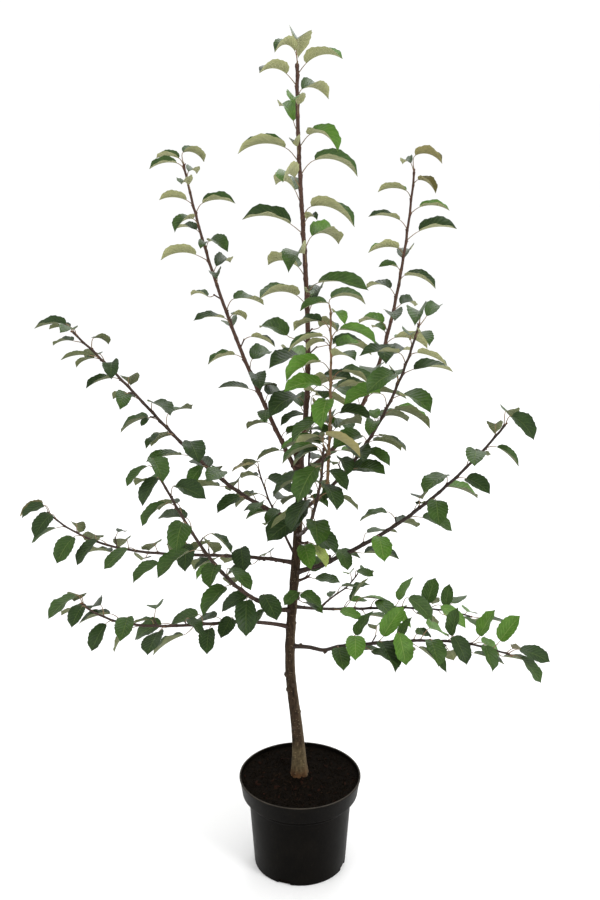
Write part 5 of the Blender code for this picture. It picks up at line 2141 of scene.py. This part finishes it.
def bed_outline(top, clear):
    """The inside of the pot as radius and height, from its floor up to the compost's top."""
    band_foot = POT_HEIGHT - BAND_HEIGHT
    share = (top - band_foot) / BAND_HEIGHT
    top_radius = BAND_FOOT_RADIUS + (RIM_RADIUS - LIP_PROUD - BAND_FOOT_RADIUS) * share
    inset = POT_WALL + clear
    side = [
        (top_radius - inset, top),
        (BAND_FOOT_RADIUS - inset, band_foot + inset),
        (WALL_TOP_RADIUS - inset, band_foot + clear),
        (BASE_RADIUS - inset, POT_WALL + clear),
    ]
    rings = [(side[0][0] * i / BED_RINGS, top) for i in range(BED_RINGS)]
    return [*rings, *side, (0.0, POT_WALL + clear)], side[0][0]


def build_bed():
    outline, edge = bed_outline(SOIL_TOP, BED_CLEAR)
    bed = turned("compost_bed", outline, BED_STEPS)
    values = {"Height": BED_RELIEF, "Edge": edge, "Top": SOIL_TOP, "Finish": COMPOST}
    run_nodes(bed, build_bed_group(), values)
    smooth(bed, BED_CREASE)
    return bed, edge


compost, soil_edge = build_bed()
print("compost faces:", len(compost.data.polygons))

# %% [markdown]
# Crumbs and bits of bark lie on the bed.  A geometry tree strews them: it picks random
# spots on the bed's upper face and turns and sizes each copy its own way, with more small
# ones than large ones.

# %% Crumbs and bark bits
STONE_PLAY = 0.28
SMALL_BIAS = 2.2
LEVEL_ENOUGH = 0.3
HALF_TURN = 3.1416
# each kind of bit: how its stone is squashed, the seed of its shape, its finish, how far it
# stays from the wall, and what the geometry tree is given
STREWN = {
    "fine_crumbs": ((1.0, 0.8, 0.6), 3, CRUMB, 0.003,
                    {"Density": 52000.0, "Small": 0.0009, "Large": 0.0036, "Tilt": 3.1, "Seed": 4}),
    "red_chips": ((1.0, 0.45, 0.22), 8, CHIP_RED, 0.007,
                  {"Density": 2160.0, "Small": 0.0018, "Large": 0.0085, "Tilt": 0.5, "Seed": 9}),
    "dark_chips": ((1.0, 0.25, 0.2), 12, CHIP_DARK, 0.007,
                   {"Density": 5040.0, "Small": 0.0018, "Large": 0.0080, "Tilt": 0.6, "Seed": 21}),
}


def build_strew_group():
    """Copies of small parts on the upward faces of a bed."""
    group, g, given, result = new_group(
        "strewn_bits", "GeometryNodeTree",
        [("Bed", "Geometry"), ("Bits", "Object"),
         ("Density", "Float", 1000.0), ("Edge", "Float", 0.11),
         ("Small", "Float", 0.001), ("Large", "Float", 0.003),
         ("Tilt", "Float", 3.1), ("Seed", "Int", 0), ("Finish", "Material")],
        [("Bits", "Geometry")],
    )
    upward = g.math("GREATER_THAN", g.part(g.node("GeometryNodeInputNormal"), "Z"), LEVEL_ENOUGH)
    place = g.node("GeometryNodeInputPosition")
    far = g.vector("LENGTH", g.vector("MULTIPLY", place, (1.0, 1.0, 0.0)))
    inside = g.math("LESS_THAN", far, given["Edge"])
    inputs = {
        "Mesh": given["Bed"], "Selection": g.times(upward, inside),
        "Density": given["Density"], "Seed": given["Seed"],
    }
    points = g.node("GeometryNodeDistributePointsOnFaces", inputs, "Points")
    back = g.times(given["Tilt"], -1.0)
    least = g.combined(back, back, -HALF_TURN)
    most = g.combined(given["Tilt"], given["Tilt"], HALF_TURN)
    inputs = {0: least, 1: most, "Seed": given["Seed"]}
    rotation = g.node("FunctionNodeRandomValue", inputs, data_type="FLOAT_VECTOR")
    size = g.node("FunctionNodeRandomValue", {2: 0.0, 3: 1.0, "Seed": g.add(given["Seed"], 5.0)}, 1)
    skewed = g.math("POWER", size, SMALL_BIAS)
    scale = g.between(skewed, 0.0, 1.0, given["Small"], given["Large"])
    bits = g.node("GeometryNodeObjectInfo", {"Object": given["Bits"]}, "Geometry")
    inputs = {"Points": points, "Instance": bits, "Rotation": rotation, "Scale": scale}
    strewn = g.node("GeometryNodeInstanceOnPoints", inputs)
    strewn = g.node("GeometryNodeRealizeInstances", {"Geometry": strewn})
    strewn = g.node("GeometryNodeSetMaterial", {"Geometry": strewn, "Material": given["Finish"]})
    g.feed(result["Bits"], strewn)
    return group


def small_stone(name, squash, seed):
    """An irregular lump of few faces."""
    dice = random.Random(seed)
    shape = bmesh.new()
    bmesh.ops.create_icosphere(shape, subdivisions=1, radius=1.0)
    for vert in shape.verts:
        vert.co *= 1.0 + stray(dice, STONE_PLAY)
        vert.co = Vector(axis * scale for axis, scale in zip(vert.co, squash))
    return add_shape(name, shape)


def build_bits(bed, edge):
    """Dark crumbs, and chips and slivers of bark, strewn over the bed and joined."""
    tree = build_strew_group()
    strewn = []
    for name, (squash, seed, finish, clear, values) in STREWN.items():
        stone = small_stone("stone", squash, seed)
        item = add_object(name, bed.data.copy())
        given = {"Bits": stone, "Edge": edge - clear, "Finish": finish, **values}
        strewn.append(run_nodes(item, tree, given))
        remove(stone)
    return join("compost_bits", strewn)


bits = build_bits(compost, soil_edge)
print("bits:", len(bits.data.polygons), "faces")

# %% [markdown]
# Last, the solids that each piece stands for are hidden.  Nothing on this plant moves by a
# joint, so all pieces ride on the one body.

# %% Put every piece on its solids
settle(pot, "pot_plastic", "pot")
settle(compost, "compost", "soil")
settle(bits, "compost", "soil")
settle(trunk, "trunk_bark", "trunk")
for name, route in ROUTES.items():
    settle(SHOOTS[name], "shoot_bark", route.limb.node or route.limb.leaves)
    settle(BLADES[name], "foliage", route.limb.leaves)

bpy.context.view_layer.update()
pieces = [pot, compost, bits, trunk, *SHOOTS.values(), *BLADES.values()]
triangles = sum(len(face.vertices) - 2 for piece in pieces for face in piece.data.polygons)
print("pieces:", len(pieces), "triangles:", triangles)
